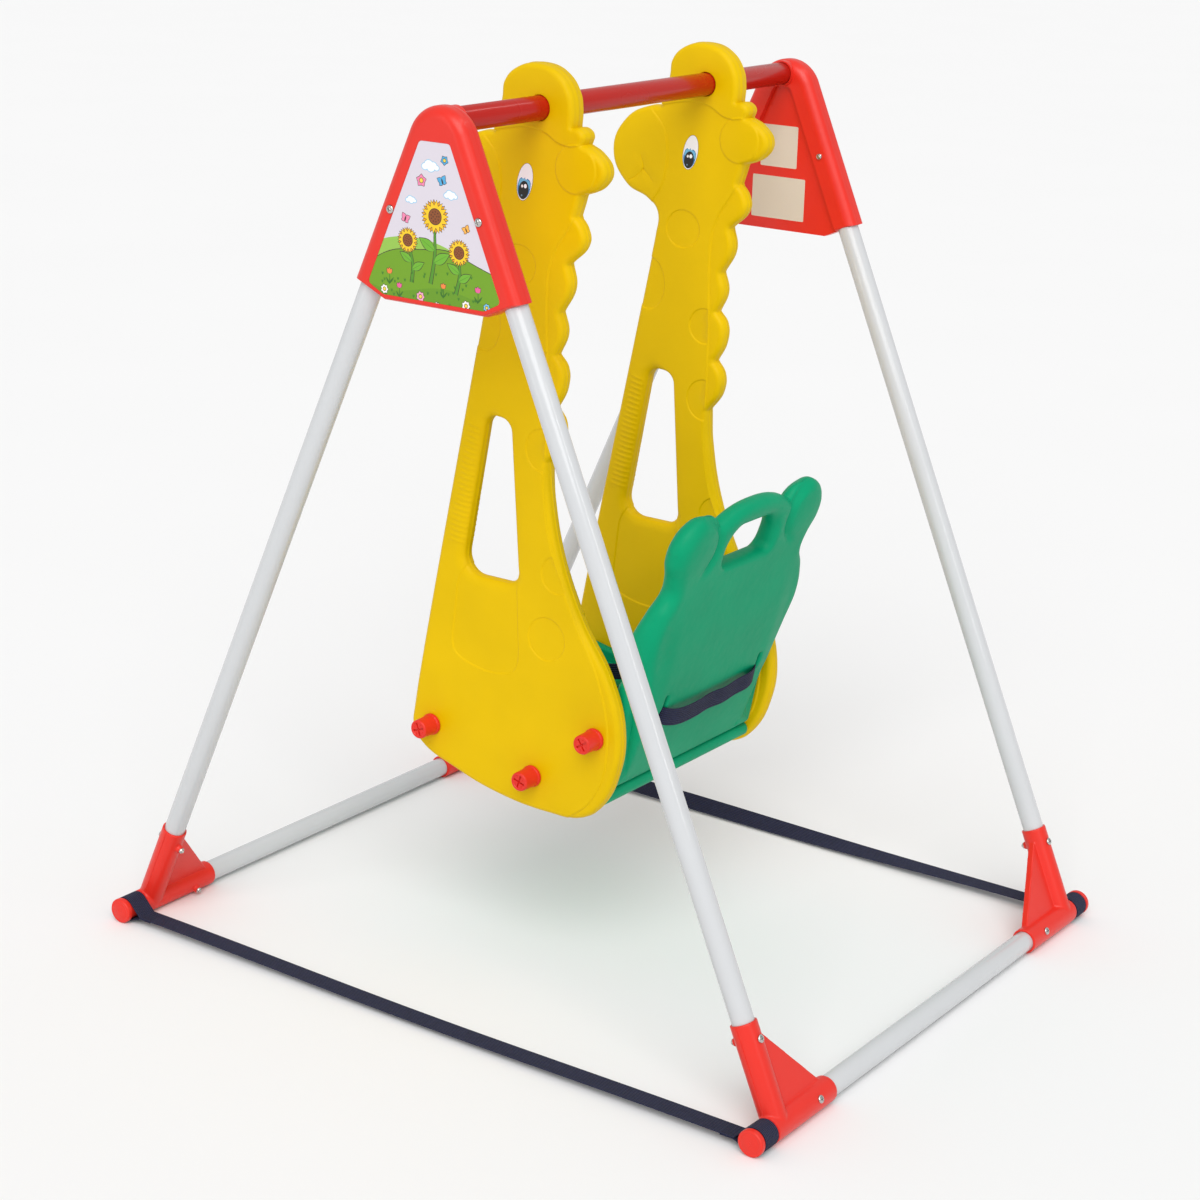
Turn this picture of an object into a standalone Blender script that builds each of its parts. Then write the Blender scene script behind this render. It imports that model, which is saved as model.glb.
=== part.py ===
"""Baby swing set: two A-frames of steel tube, a top bar, and a moulded seat that
hangs from the bar between two giraffe-shaped side panels.

Metres, +Z up. X runs along the top bar and the seated child faces -Y. The origin
is on the floor under the middle of the stand. Left and right are the child's own:
left is +X, right is -X, front is -Y.
"""

import math

import bmesh
import bpy
from mathutils import Matrix, Vector

# Play between pieces that touch
GAP = 0.0003
RUNNING_GAP = 0.0005

# Tubes of the stand
TUBE_R = 0.015
TUBE_WALL = 0.0012
BAR_R = 0.016
BAR_WALL = 0.0015
FRAME_HALF_X = 0.400
FOOT_HALF_Y = 0.541
BAR_Z = 1.204
APEX_OVER_BAR = 0.0447
LEG_TOP_UNDER_BAR = 0.040

# Moulded corner joints
SOCKET_R = 0.0182
LEG_SOCKET_R = 0.0178
LEG_SOCKET_LENGTH = 0.136
BASE_SOCKET_LENGTH = 0.120
COLLAR_REACH = 0.0197
STUB_WALL = 0.0010
STUB_LENGTH = 0.0334
WEB_THICKNESS = 0.010
WEB_LEG_REACH = 0.128
WEB_BASE_REACH = 0.114
LEG_BOLT_REACH = 0.112
BASE_BOLT_REACH = 0.080
BOSS_R = 0.0058
BOSS_HEIGHT = 0.0045

# End caps
CAP_R = 0.0182
CAP_THICKNESS = 0.0078
CAP_ROUND = 0.0028
CAP_PLUG_LENGTH = 0.018
CAP_PLUG_WALL = 0.002

# Webbing that ties the feet of each A-frame
STRAP_WIDTH = 0.030
STRAP_THICKNESS = 0.0013
STRAP_SEWN_REACH = 0.060
STRAP_DROP = 0.0058

# Covers at the head of each A-frame
COVER_SIDE = 0.0185
COVER_INNER_DEPTH = 0.0175
COVER_TOP_OVER_BAR = 0.0200
COVER_LEG_END_Z = 0.9895
COVER_CHAMFER_REACH = 0.037
COVER_DEPTH = 0.0213
COVER_ROUND = 0.0155
COVER_LOW_ROUND = 0.005
COVER_WALL = 0.0018
COVER_WEB_DEPTH = 0.010
COVER_SCREW_Z = 1.0908
COLLAR_R = 0.0184
COLLAR_PROUD = 0.004
COVER_INNER_ROUND = 0.0155
COVER_RIM_HALF = 0.013
COVER_WEB_RISE = -0.005
BAR_END_REACH = 0.012
PICTURE_SIDE_INSET = 0.006
PICTURE_TOP_UNDER_BAR = 0.0235
PICTURE_BOTTOM_RISE = 0.0085
PICTURE_THICKNESS = 0.0010
PICTURE_RECESS = 0.0007

# Screws, bolts and nuts
BOLT_R = 0.0024
BOLT_HEAD_R = 0.0043
BOLT_HEAD_HEIGHT = 0.0026
NUT_R = 0.0040
NUT_HEIGHT = 0.0028

# Side panels of the swing
PANEL_INNER_X = 0.1795
PANEL_THICKNESS = 0.0280
PANEL_ROUND = 0.006

# Seat, in its own tilted frame: Y rearward along the pan, Z up along the back
SEAT_TILT = math.radians(10.8)
SEAT_ORIGIN_Y = 0.1156
SEAT_ORIGIN_DROP = 0.9321
PAN_LENGTH = 0.311
PAN_TOP = 0.011
PAN_BOTTOM = -0.010
PAN_REAR = 0.002
PAN_RIM_TOP = 0.029
PAN_RIM_WIDTH = 0.014
PAN_RIM_FRONT = -0.300
PAN_RIM_REAR = -0.052
KNOB_PLACES = {"front": (-0.2876, 0.0), "middle": (-0.1064, 0.0), "rear": (-0.020, 0.097)}
KNOB_SHAFT_R = 0.008
KNOB_SHAFT_REACH = 0.030
KNOB_FLANGE_R = 0.0160
KNOB_CAP_R = 0.0132
KNOB_LENGTH = 0.0315

# Backrest
BACK_ROUND = 0.0135
SLOT_X = 0.122
SLOT_WIDTH = 0.007
SLOT_BOTTOM = 0.112
SLOT_TOP = 0.176

# Lap belt and its buckle
BELT_WIDTH = 0.026
BELT_THICKNESS = 0.0016
BUCKLE_LENGTH = 0.034
BUCKLE_WIDTH = 0.044
BUCKLE_THICKNESS = 0.013
BUCKLE_Y = -0.226
BUCKLE_Z = PAN_TOP + BUCKLE_WIDTH / 2 + GAP

# Facets round turned pieces
TUBE_STEPS = 20
KNOB_STEPS = 16
SMALL_STEPS = 8
HOLE_TWIST = math.radians(7)

BASE_AXIS_Z = SOCKET_R
APEX_Z = BAR_Z + APEX_OVER_BAR
LEG_LENGTH = math.hypot(FOOT_HALF_Y, APEX_Z - BASE_AXIS_Z)
LEG_SIN = FOOT_HALF_Y / LEG_LENGTH
LEG_COS = (APEX_Z - BASE_AXIS_Z) / LEG_LENGTH
LEG_TAN = LEG_SIN / LEG_COS

COLOURS = {
    "white_enamel": ("E6E4EA", 0.25, 0.0),
    "red_enamel": ("C42E1E", 0.30, 0.0),
    "red_plastic": ("F0483A", 0.42, 0.0),
    "yellow_plastic": ("EBC70A", 0.45, 0.0),
    "green_plastic": ("0A9E76", 0.45, 0.0),
    "navy_webbing": ("2E3346", 0.85, 0.0),
    "zinc_steel": ("C9C9C6", 0.30, 1.0),
    "printed_card": ("E4DEE6", 0.40, 0.0),
    "black_plastic": ("1C1C20", 0.45, 0.0),
}


def clear_scene():
    for item in list(bpy.data.objects):
        bpy.data.objects.remove(item, do_unlink=True)


def new_collection(name):
    collection = bpy.data.collections.new(name)
    bpy.context.scene.collection.children.link(collection)
    return collection


def linear_channel(value):
    return value / 12.92 if value <= 0.04045 else ((value + 0.055) / 1.055) ** 2.4


def new_material(name, hex_colour, roughness, metallic):
    material = bpy.data.materials.new(name)
    material.use_nodes = True
    shader = material.node_tree.nodes["Principled BSDF"]
    parts = [int(hex_colour[i:i + 2], 16) / 255 for i in (0, 2, 4)]
    shader.inputs["Base Color"].default_value = (*map(linear_channel, parts), 1.0)
    shader.inputs["Roughness"].default_value = roughness
    shader.inputs["Metallic"].default_value = metallic
    return material


clear_scene()
PARTS = new_collection("baby_swing_set")
CUTTERS = new_collection("cutters")


def add_object(name, mesh, finish=None, matrix=None, parent=None):
    """Link a mesh as a sub-part, or as a cutter when it has no finish."""
    item = bpy.data.objects.new(name, mesh)
    if matrix is not None:
        item.matrix_local = matrix
    if finish:
        colour, roughness, metallic = COLOURS[finish]
        item.data.materials.append(new_material(name + "_" + finish, colour, roughness, metallic))
        PARTS.objects.link(item)
    else:
        item.hide_render = True
        item.display_type = "WIRE"
        CUTTERS.objects.link(item)
    item.parent = parent
    return item


def add_empty(name, location, tilt=0.0, parent=None):
    empty = bpy.data.objects.new(name, None)
    empty.location = location
    empty.rotation_euler = (tilt, 0.0, 0.0)
    PARTS.objects.link(empty)
    empty.parent = parent
    return empty


def aim(start, direction):
    """Place local +Z along a direction, starting at a point."""
    turn = Vector((0, 0, 1)).rotation_difference(Vector(direction).normalized())
    return Matrix.Translation(start) @ turn.to_matrix().to_4x4()


def finish_mesh(bm, name):
    bmesh.ops.remove_doubles(bm, verts=bm.verts, dist=1e-6)
    bmesh.ops.recalc_face_normals(bm, faces=bm.faces)
    mesh = bpy.data.meshes.new(name)
    bm.to_mesh(mesh)
    bm.free()
    mesh.shade_smooth()
    mesh.set_sharp_from_angle(angle=math.radians(35))
    return mesh


def rod_mesh(name, radius, length, steps=TUBE_STEPS, twist=0.0):
    """A round bar along +Z from the origin."""
    bm = bmesh.new()
    place = Matrix.Translation((0, 0, length / 2)) @ Matrix.Rotation(twist, 4, "Z")
    bmesh.ops.create_cone(bm, cap_ends=True, segments=steps, radius1=radius,
                          radius2=radius, depth=length, matrix=place)
    return finish_mesh(bm, name)


def rod_between(name, start, end, radius, steps=TUBE_STEPS, parent=None, twist=0.0):
    start, end = Vector(start), Vector(end)
    mesh = rod_mesh(name, radius, (end - start).length, steps, twist)
    return add_object(name, mesh, matrix=aim(start, end - start), parent=parent)


def bore(name, start, end, radius, steps=TUBE_STEPS, parent=None):
    """A round cutter whose facets don't line up with those of what it cuts."""
    return rod_between(name, start, end, radius, steps, parent, HOLE_TWIST)


def box_object(name, low, high, parent=None):
    low, high = Vector(low), Vector(high)
    bm = bmesh.new()
    place = Matrix.Translation((low + high) / 2) @ Matrix.Diagonal((*(high - low), 1))
    bmesh.ops.create_cube(bm, size=1.0, matrix=place)
    return add_object(name, finish_mesh(bm, name), parent=parent)


def turned(name, profile, start, direction, finish, steps=TUBE_STEPS, parent=None):
    """A turned piece: (radius, height) points, down the outside from the top."""
    bm = bmesh.new()
    points = [bm.verts.new((radius, 0, height)) for radius, height in profile]
    for first, second in zip(points, points[1:] + points[:1]):
        if first.co.x > 1e-7 or second.co.x > 1e-7:
            bm.edges.new((first, second))
    mesh = bpy.data.meshes.new(name)
    bm.to_mesh(mesh)
    bm.free()
    item = add_object(name, mesh, finish, aim(start, direction), parent)
    screw = item.modifiers.new("turn", "SCREW")
    screw.steps = screw.render_steps = steps
    screw.use_merge_vertices = True
    screw.merge_threshold = 0.00001
    screw.use_smooth_shade = True
    return item


def hollow_tube(name, start, end, radius, wall, finish):
    start, end = Vector(start), Vector(end)
    length = (end - start).length
    ring = ((radius, length), (radius, 0), (radius - wall, 0), (radius - wall, length))
    return turned(name, ring, start, end - start, finish)


def cut(item, *cutters):
    for cutter in cutters:
        change = item.modifiers.new("cut " + cutter.name, "BOOLEAN")
        change.operation = "DIFFERENCE"
        change.object = cutter


def join(item, *guides):
    for guide in guides:
        change = item.modifiers.new("join " + guide.name, "BOOLEAN")
        change.operation = "UNION"
        change.object = guide


def rounded(corners, arc_steps=4):
    """A polygon's points, with each corner (x, y, radius) as an arc."""
    points = []
    for number, (x, y, radius) in enumerate(corners):
        corner = Vector((x, y))
        before = Vector(corners[number - 1][:2]) - corner
        after = Vector(corners[(number + 1) % len(corners)][:2]) - corner
        half = before.angle(after) / 2
        middle = corner + (before.normalized() + after.normalized()).normalized() * (
            radius / math.sin(half))
        start = corner + before.normalized() * (radius / math.tan(half)) - middle
        end = corner + after.normalized() * (radius / math.tan(half)) - middle
        turn = start.angle_signed(end)
        for i in range(arc_steps + 1):
            spoke = start.copy()
            spoke.rotate(Matrix.Rotation(-turn * i / arc_steps, 2))
            points.append(tuple(middle + spoke))
    return points


# Local X, Y and Z of an outline become world Y, Z and X
SIDE_VIEW = Matrix(((0, 0, 1, 0), (1, 0, 0, 0), (0, 1, 0, 0), (0, 0, 0, 1)))
# Local X, Y and Z of an outline become X, Z and -Y of the seat's frame
BACK_VIEW = Matrix(((1, 0, 0, 0), (0, 0, -1, 0), (0, 1, 0, 0), (0, 0, 0, 1)))


def curve_mesh(name, curve):
    """Turn a curve into a welded mesh."""
    holder = bpy.data.objects.new(name, curve)
    CUTTERS.objects.link(holder)
    graph = bpy.context.evaluated_depsgraph_get()
    mesh = bpy.data.meshes.new_from_object(holder.evaluated_get(graph))
    bpy.data.objects.remove(holder, do_unlink=True)
    bm = bmesh.new()
    bm.from_mesh(mesh)
    bmesh.ops.remove_doubles(bm, verts=bm.verts, dist=1e-6)
    return finish_mesh(bm, name)


def flat_curve(name, outlines, thickness, rounding=0.0, steps=3, bevel_steps=1):
    """A plate with its mid-plane at local Z 0, from outlines of (x, y, corner)."""
    curve = bpy.data.curves.new(name, "CURVE")
    curve.dimensions = "2D"
    curve.fill_mode = "BOTH"
    curve.resolution_u = steps
    curve.extrude = thickness / 2 - rounding
    if rounding:
        curve.bevel_depth = rounding
        curve.offset = -rounding
        curve.bevel_resolution = bevel_steps
    for outline in outlines:
        smooth = len(outline[0]) == 3
        spline = curve.splines.new("BEZIER" if smooth else "POLY")
        spline.use_cyclic_u = True
        if not smooth:
            spline.points.add(len(outline) - 1)
            for point, (x, y) in zip(spline.points, outline):
                point.co = (x, y, 0, 1)
            continue
        spline.bezier_points.add(len(outline) - 1)
        for point, (x, y, corner) in zip(spline.bezier_points, outline):
            point.co = (x, y, 0)
            kind = "VECTOR" if corner else "AUTO"
            point.handle_left_type = point.handle_right_type = kind
    return curve_mesh(name, curve)


def leg_half_y(z):
    """How far a leg's axis is from the middle, at a height."""
    return (APEX_Z - z) * LEG_TAN


def leg_point(side_x, side_y, reach):
    """A point on a leg's axis, at a distance up from the foot."""
    return Vector((side_x * FRAME_HALF_X, side_y * (FOOT_HALF_Y - reach * LEG_SIN),
                   BASE_AXIS_Z + reach * LEG_COS))


def leg_reach(z):
    return (z - BASE_AXIS_Z) / LEG_COS


CORNERS = {
    "front_left": (1, -1),
    "rear_left": (1, 1),
    "front_right": (-1, -1),
    "rear_right": (-1, 1),
}
SIDES = {"left": 1, "right": -1}


def bolt_direction(side_y):
    """Square to a corner joint's web, pointing out of the stand."""
    return Vector((0, side_y * LEG_COS, LEG_SIN))


def bolt_places(side_x, side_y):
    foot = leg_point(side_x, side_y, 0)
    return (leg_point(side_x, side_y, LEG_BOLT_REACH),
            foot - Vector((side_x * BASE_BOLT_REACH, 0, 0)))


def bolt_hole(name, place, direction, half_length):
    offset = direction * half_length
    return bore(name, place - offset, place + offset, BOLT_R + GAP, SMALL_STEPS)


def make_legs():
    top_reach = leg_reach(BAR_Z - LEG_TOP_UNDER_BAR)
    low_reach = TUBE_R + STUB_WALL + GAP * 4
    for corner, (side_x, side_y) in CORNERS.items():
        leg = hollow_tube("leg_" + corner, leg_point(side_x, side_y, low_reach),
                          leg_point(side_x, side_y, top_reach),
                          TUBE_R, TUBE_WALL, "white_enamel")
        bolt_at = bolt_places(side_x, side_y)[0]
        cut(leg, bolt_hole("leg_bolt_hole_" + corner, bolt_at,
                           bolt_direction(side_y), 2 * TUBE_R))
        screw_at = leg_point(side_x, side_y, leg_reach(COVER_SCREW_Z))
        cut(leg, bolt_hole("leg_screw_hole_" + corner, screw_at,
                           Vector((1, 0, 0)), 2 * TUBE_R))


def stub_end_x():
    return FRAME_HALF_X + COLLAR_REACH + STUB_LENGTH


def make_base_tubes():
    for end, side_y in (("front", -1), ("rear", 1)):
        start = Vector((-stub_end_x(), side_y * FOOT_HALF_Y, BASE_AXIS_Z))
        finish = Vector((stub_end_x(), side_y * FOOT_HALF_Y, BASE_AXIS_Z))
        tube = hollow_tube("base_tube_" + end, start, finish,
                           TUBE_R, TUBE_WALL, "white_enamel")
        for side, side_x in SIDES.items():
            place = bolt_places(side_x, side_y)[1]
            cut(tube, bolt_hole("base_bolt_hole_%s_%s" % (end, side), place,
                                bolt_direction(side_y), 2 * TUBE_R))


def make_top_bar():
    reach = FRAME_HALF_X + BAR_END_REACH
    hollow_tube("top_bar", (-reach, 0, BAR_Z), (reach, 0, BAR_Z),
                BAR_R, BAR_WALL, "red_enamel")


def web_mesh(name, side_x, side_y):
    """The flat triangle between a joint's two sockets."""
    outline = ((0, 0), (WEB_BASE_REACH, 0), (WEB_BASE_REACH, SOCKET_R / 2),
               (SOCKET_R / 2, WEB_LEG_REACH), (0, WEB_LEG_REACH))
    mesh = flat_curve(name, [outline], WEB_THICKNESS)
    across = Vector((-side_x, 0, 0))
    up = Vector((0, -side_y * LEG_SIN, LEG_COS))
    normal = across.cross(up)
    place = Matrix.Translation(leg_point(side_x, side_y, 0)) @ Matrix(
        (across, up, normal)).transposed().to_4x4()
    return mesh, place


def make_corner_joints():
    bore_r = TUBE_R + GAP
    stub_r = bore_r + STUB_WALL
    stub_reach = COLLAR_REACH + STUB_LENGTH
    top = BASE_SOCKET_LENGTH + stub_reach
    collar = BASE_SOCKET_LENGTH + COLLAR_REACH
    profile = ((0, top), (stub_r, top), (stub_r, collar), (SOCKET_R, collar),
               (SOCKET_R, 0), (0, 0))
    for corner, (side_x, side_y) in CORNERS.items():
        foot = leg_point(side_x, side_y, 0)
        outward = Vector((side_x, 0, 0))
        start = foot - outward * BASE_SOCKET_LENGTH
        joint = turned("corner_joint_" + corner, profile, start, outward, "red_plastic")
        up = leg_point(side_x, side_y, 1) - foot
        leg_socket = rod_between("leg_socket_" + corner, foot,
                                 foot + up * LEG_SOCKET_LENGTH, LEG_SOCKET_R)
        mesh, place = web_mesh("web_" + corner, side_x, side_y)
        web = add_object("web_" + corner, mesh, matrix=place)
        join(joint, leg_socket, web)
        normal = bolt_direction(side_y)
        for number, bolt_at in enumerate(bolt_places(side_x, side_y)):
            boss = rod_between("boss_%s_%d" % (corner, number), bolt_at,
                               bolt_at - normal * (SOCKET_R + BOSS_HEIGHT),
                               BOSS_R, SMALL_STEPS)
            join(joint, boss)
        base_bore = bore("base_bore_" + corner, start - outward * 0.01,
                         start + outward * (top + 0.01), bore_r)
        leg_bore = bore("leg_bore_" + corner, foot + up * (TUBE_R + STUB_WALL + GAP * 2),
                        foot + up * (LEG_SOCKET_LENGTH + 0.01), bore_r)
        cut(joint, base_bore, leg_bore)
        for number, bolt_at in enumerate(bolt_places(side_x, side_y)):
            cut(joint, bolt_hole("joint_hole_%s_%d" % (corner, number), bolt_at,
                                 normal, 2 * SOCKET_R))


def bolt_profile(length):
    """A pan-headed screw whose head sits on local Z 0 and points up."""
    return ((0, BOLT_HEAD_HEIGHT), (BOLT_HEAD_R * 0.62, BOLT_HEAD_HEIGHT * 0.86),
            (BOLT_HEAD_R, BOLT_HEAD_HEIGHT * 0.35), (BOLT_HEAD_R, 0),
            (BOLT_R, 0), (BOLT_R, -length), (0, -length))


def nut_profile():
    inner = BOLT_R + GAP
    return ((inner, NUT_HEIGHT), (NUT_R * 0.86, NUT_HEIGHT), (NUT_R, NUT_HEIGHT * 0.7),
            (NUT_R, 0), (inner, 0))


def make_frame_bolts():
    """Two bolts and two nuts to a corner joint, heads on the outer side."""
    head_seat = SOCKET_R + GAP
    nut_seat = SOCKET_R + BOSS_HEIGHT + GAP
    length = head_seat + nut_seat + NUT_HEIGHT + 0.001
    for corner, (side_x, side_y) in CORNERS.items():
        normal = bolt_direction(side_y)
        for tube, place in zip(("leg", "base"), bolt_places(side_x, side_y)):
            turned("corner_bolt_%s_%s" % (tube, corner), bolt_profile(length),
                   place + normal * head_seat, normal, "zinc_steel", SMALL_STEPS)
            turned("corner_nut_%s_%s" % (tube, corner), nut_profile(),
                   place - normal * nut_seat, -normal, "zinc_steel", SMALL_STEPS)


def make_end_caps():
    plug_r = TUBE_R - TUBE_WALL - GAP
    rounding = [(CAP_R - CAP_ROUND + CAP_ROUND * math.cos(angle),
                 CAP_THICKNESS - CAP_ROUND + CAP_ROUND * math.sin(angle))
                for angle in (math.radians(a) for a in (45, 0))]
    profile = [(0, CAP_THICKNESS), (CAP_R - CAP_ROUND, CAP_THICKNESS), *rounding,
               (CAP_R, 0), (plug_r, 0), (plug_r, -CAP_PLUG_LENGTH),
               (plug_r - CAP_PLUG_WALL, -CAP_PLUG_LENGTH), (plug_r - CAP_PLUG_WALL, 0), (0, 0)]
    for corner, (side_x, side_y) in CORNERS.items():
        start = (side_x * (stub_end_x() + GAP), side_y * FOOT_HALF_Y, BASE_AXIS_Z)
        turned("end_cap_" + corner, profile, start, (side_x, 0, 0), "red_plastic")


def loop_arc(centre_y, radius, tip_y, tip_z, count=14):
    """Points round a stub, from one tangent through a far tip to the other."""
    offset_y, offset_z = tip_y - centre_y, tip_z - BASE_AXIS_Z
    reach = math.hypot(offset_y, offset_z)
    middle = math.atan2(offset_z, offset_y)
    spread = math.acos(radius / reach)
    first, last = middle + spread, middle + 2 * math.pi - spread
    angles = [first + (last - first) * i / count for i in range(count + 1)]
    return [(centre_y + radius * math.cos(a), BASE_AXIS_Z + radius * math.sin(a))
            for a in angles]


def make_spread_straps():
    """A flat band with a sewn loop round a stub at each end."""
    inner_r = TUBE_R + STUB_WALL + 2 * GAP
    outer_r = inner_r + STRAP_THICKNESS
    run_z = BASE_AXIS_Z - STRAP_DROP
    half = STRAP_THICKNESS / 2
    outer, holes = [], []
    for side_y in (1, -1):
        centre_y = side_y * FOOT_HALF_Y
        tip_y = side_y * (FOOT_HALF_Y - STRAP_SEWN_REACH)
        arc = loop_arc(centre_y, outer_r, tip_y, run_z)
        hole = loop_arc(centre_y, inner_r, tip_y + side_y * 0.008, run_z)
        step = half * side_y
        outer += [(tip_y, run_z - step), *arc, (tip_y, run_z + step)]
        holes.append([(tip_y + side_y * 0.008, run_z), *hole])
    mid_x = FRAME_HALF_X + COLLAR_REACH + STUB_LENGTH / 2
    for side, side_x in SIDES.items():
        mesh = flat_curve("spread_strap_" + side, [outer, *holes], STRAP_WIDTH)
        place = Matrix.Translation((side_x * mid_x, 0, 0)) @ SIDE_VIEW
        add_object("spread_strap_" + side, mesh, "navy_webbing", place)


def cover_outline(side_offset, bottom_rise=0.0, top=None, arc_steps=10):
    """The cover's face outline in (y, z), offset from the leg axes."""
    chamfer = COVER_CHAMFER_REACH
    end_y = leg_half_y(COVER_LEG_END_Z)
    bottom_y = end_y - chamfer * LEG_COS
    bottom_z = COVER_LEG_END_Z - chamfer * LEG_SIN + bottom_rise
    shift = bottom_rise / LEG_COS
    outer = (end_y + side_offset * LEG_COS - shift * LEG_SIN,
             COVER_LEG_END_Z + side_offset * LEG_SIN + shift * LEG_COS)
    right = [(bottom_y, bottom_z), outer]
    if top is None:
        top_z = BAR_Z + COVER_TOP_OVER_BAR - (COVER_SIDE - side_offset)
        centre_z = (top_z - side_offset - APEX_Z * LEG_SIN) / (1 - LEG_SIN)
        radius = top_z - centre_z
        tilt = math.asin(LEG_SIN)
        sweep = math.pi - 2 * tilt
        arc = [(radius * math.cos(tilt + sweep * i / arc_steps),
                centre_z + radius * math.sin(tilt + sweep * i / arc_steps))
               for i in range(arc_steps + 1)]
    else:
        half = leg_half_y(top) + side_offset / LEG_COS
        arc = [(half, top), (-half, top)]
    left = [(-y, z) for y, z in reversed(right)]
    return right + arc + left


def leg_channel(name, side_x, side_y, radius):
    low = leg_point(side_x, side_y, leg_reach(COVER_LEG_END_Z) - 0.02)
    high = leg_point(side_x, side_y, leg_reach(BAR_Z - LEG_TOP_UNDER_BAR) + 0.002)
    return bore(name, low, high, radius)


def cover_cavity(name, side_x, depth):
    top = BAR_Z - BAR_R - COVER_WALL - GAP
    inset = -(TUBE_R + COVER_WALL)
    outline = cover_outline(inset, COVER_WALL, top)
    mesh = flat_curve(name, [outline], 2 * depth)
    place = Matrix.Translation((side_x * FRAME_HALF_X, 0, 0)) @ SIDE_VIEW
    return add_object(name, mesh, matrix=place)


def cover_cuts(item, side, side_x, depth, bar_depth):
    """Channels for the legs and the bar, the hollow and the screw holes."""
    name = item.name
    for end, side_y in (("front", -1), ("rear", 1)):
        cut(item, leg_channel("channel_%s_%s" % (name, end), side_x, side_y, TUBE_R + GAP))
        place = leg_point(side_x, side_y, leg_reach(COVER_SCREW_Z))
        cut(item, bolt_hole("screw_hole_%s_%s" % (name, end), place,
                            Vector((1, 0, 0)), 2 * COVER_SIDE))
    inner, outer = bar_depth
    cut(item, bore("bar_bore_" + name, (side_x * inner, 0, BAR_Z),
                   (side_x * outer, 0, BAR_Z), BAR_R + GAP))
    cut(item, cover_cavity("hollow_" + name, side_x, depth))


def picture_outline(clearance=0.0):
    top = BAR_Z - PICTURE_TOP_UNDER_BAR + clearance
    return cover_outline(-PICTURE_SIDE_INSET + clearance,
                         PICTURE_BOTTOM_RISE - clearance, top)


def shell_mesh(name, depth, face_side):
    """A cover-shaped plate whose rim is marked for rounding on one face."""
    bm = bmesh.new()
    bm.from_mesh(flat_curve(name, [cover_outline(COVER_SIDE)], depth))
    bmesh.ops.dissolve_limit(bm, angle_limit=math.radians(1), verts=bm.verts, edges=bm.edges)
    weights = bm.edges.layers.float.new("bevel_weight_edge")
    for edge in bm.edges:
        on_face = all(vert.co.z * face_side > 0 for vert in edge.verts)
        if on_face and edge.calc_face_angle(0) > math.radians(60):
            low = max(vert.co.y for vert in edge.verts) < COVER_LEG_END_Z + COVER_SIDE
            edge[weights] = COVER_LOW_ROUND / COVER_ROUND if low else 1.0
    mesh = bpy.data.meshes.new(name)
    bm.to_mesh(mesh)
    bm.free()
    return mesh


def shell_object(name, side_x, depth, face_side, rounding):
    """Half a cover, on the outer or the inner side of its A-frame."""
    mesh = shell_mesh(name, depth, side_x * face_side)
    mid_x = side_x * (FRAME_HALF_X + face_side * (GAP / 2 + depth / 2))
    place = Matrix.Translation((mid_x, 0, 0)) @ SIDE_VIEW
    shell = add_object(name, mesh, "red_plastic", place)
    change = shell.modifiers.new("round", "BEVEL")
    change.limit_method = "WEIGHT"
    change.width = rounding
    change.segments = 4
    change.use_clamp_overlap = False
    return shell


def recess(item, outline, face_x, depth):
    """Sink an area of a face that is square to X."""
    mesh = flat_curve("recess_" + item.name, [outline], 2 * depth)
    place = Matrix.Translation((face_x, 0, 0)) @ SIDE_VIEW
    cut(item, add_object("recess_" + item.name, mesh, matrix=place))


def make_outer_cover(side, side_x):
    cover = shell_object("cover_outer_" + side, side_x, COVER_DEPTH, 1, COVER_ROUND)
    hollow_depth = COVER_DEPTH - COVER_WALL - PICTURE_RECESS
    end_x = FRAME_HALF_X + BAR_END_REACH + GAP
    cover_cuts(cover, side, side_x, hollow_depth, (FRAME_HALF_X - 0.01, end_x))
    face_x = side_x * (FRAME_HALF_X + GAP / 2 + COVER_DEPTH)
    recess(cover, picture_outline(GAP), face_x, PICTURE_RECESS)
    panel = flat_curve("picture_panel_" + side, [picture_outline()], PICTURE_THICKNESS)
    panel_x = face_x - side_x * (PICTURE_RECESS - GAP / 3 - PICTURE_THICKNESS / 2)
    add_object("picture_panel_" + side, panel, "printed_card",
               Matrix.Translation((panel_x, 0, 0)) @ SIDE_VIEW)


def make_inner_cover(side, side_x):
    name = "cover_inner_" + side
    cover = shell_object(name, side_x, COVER_INNER_DEPTH, -1, COVER_INNER_ROUND)
    face_x = FRAME_HALF_X - GAP / 2 - COVER_INNER_DEPTH
    top = BAR_Z - COLLAR_R
    web_edge = cover_outline(-COVER_RIM_HALF, COVER_WEB_RISE, top)
    recess(cover, web_edge, side_x * face_x, COVER_INNER_DEPTH - COVER_WEB_DEPTH)
    collar = bore("cover_collar_" + side, (side_x * (face_x - COLLAR_PROUD), 0, BAR_Z),
                  (side_x * (face_x + COLLAR_R / 4), 0, BAR_Z), COLLAR_R)
    join(cover, collar)
    depth = COVER_WEB_DEPTH - COVER_WALL
    cover_cuts(cover, side, side_x, depth, (face_x - 2 * COLLAR_PROUD, FRAME_HALF_X + 0.01))


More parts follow.
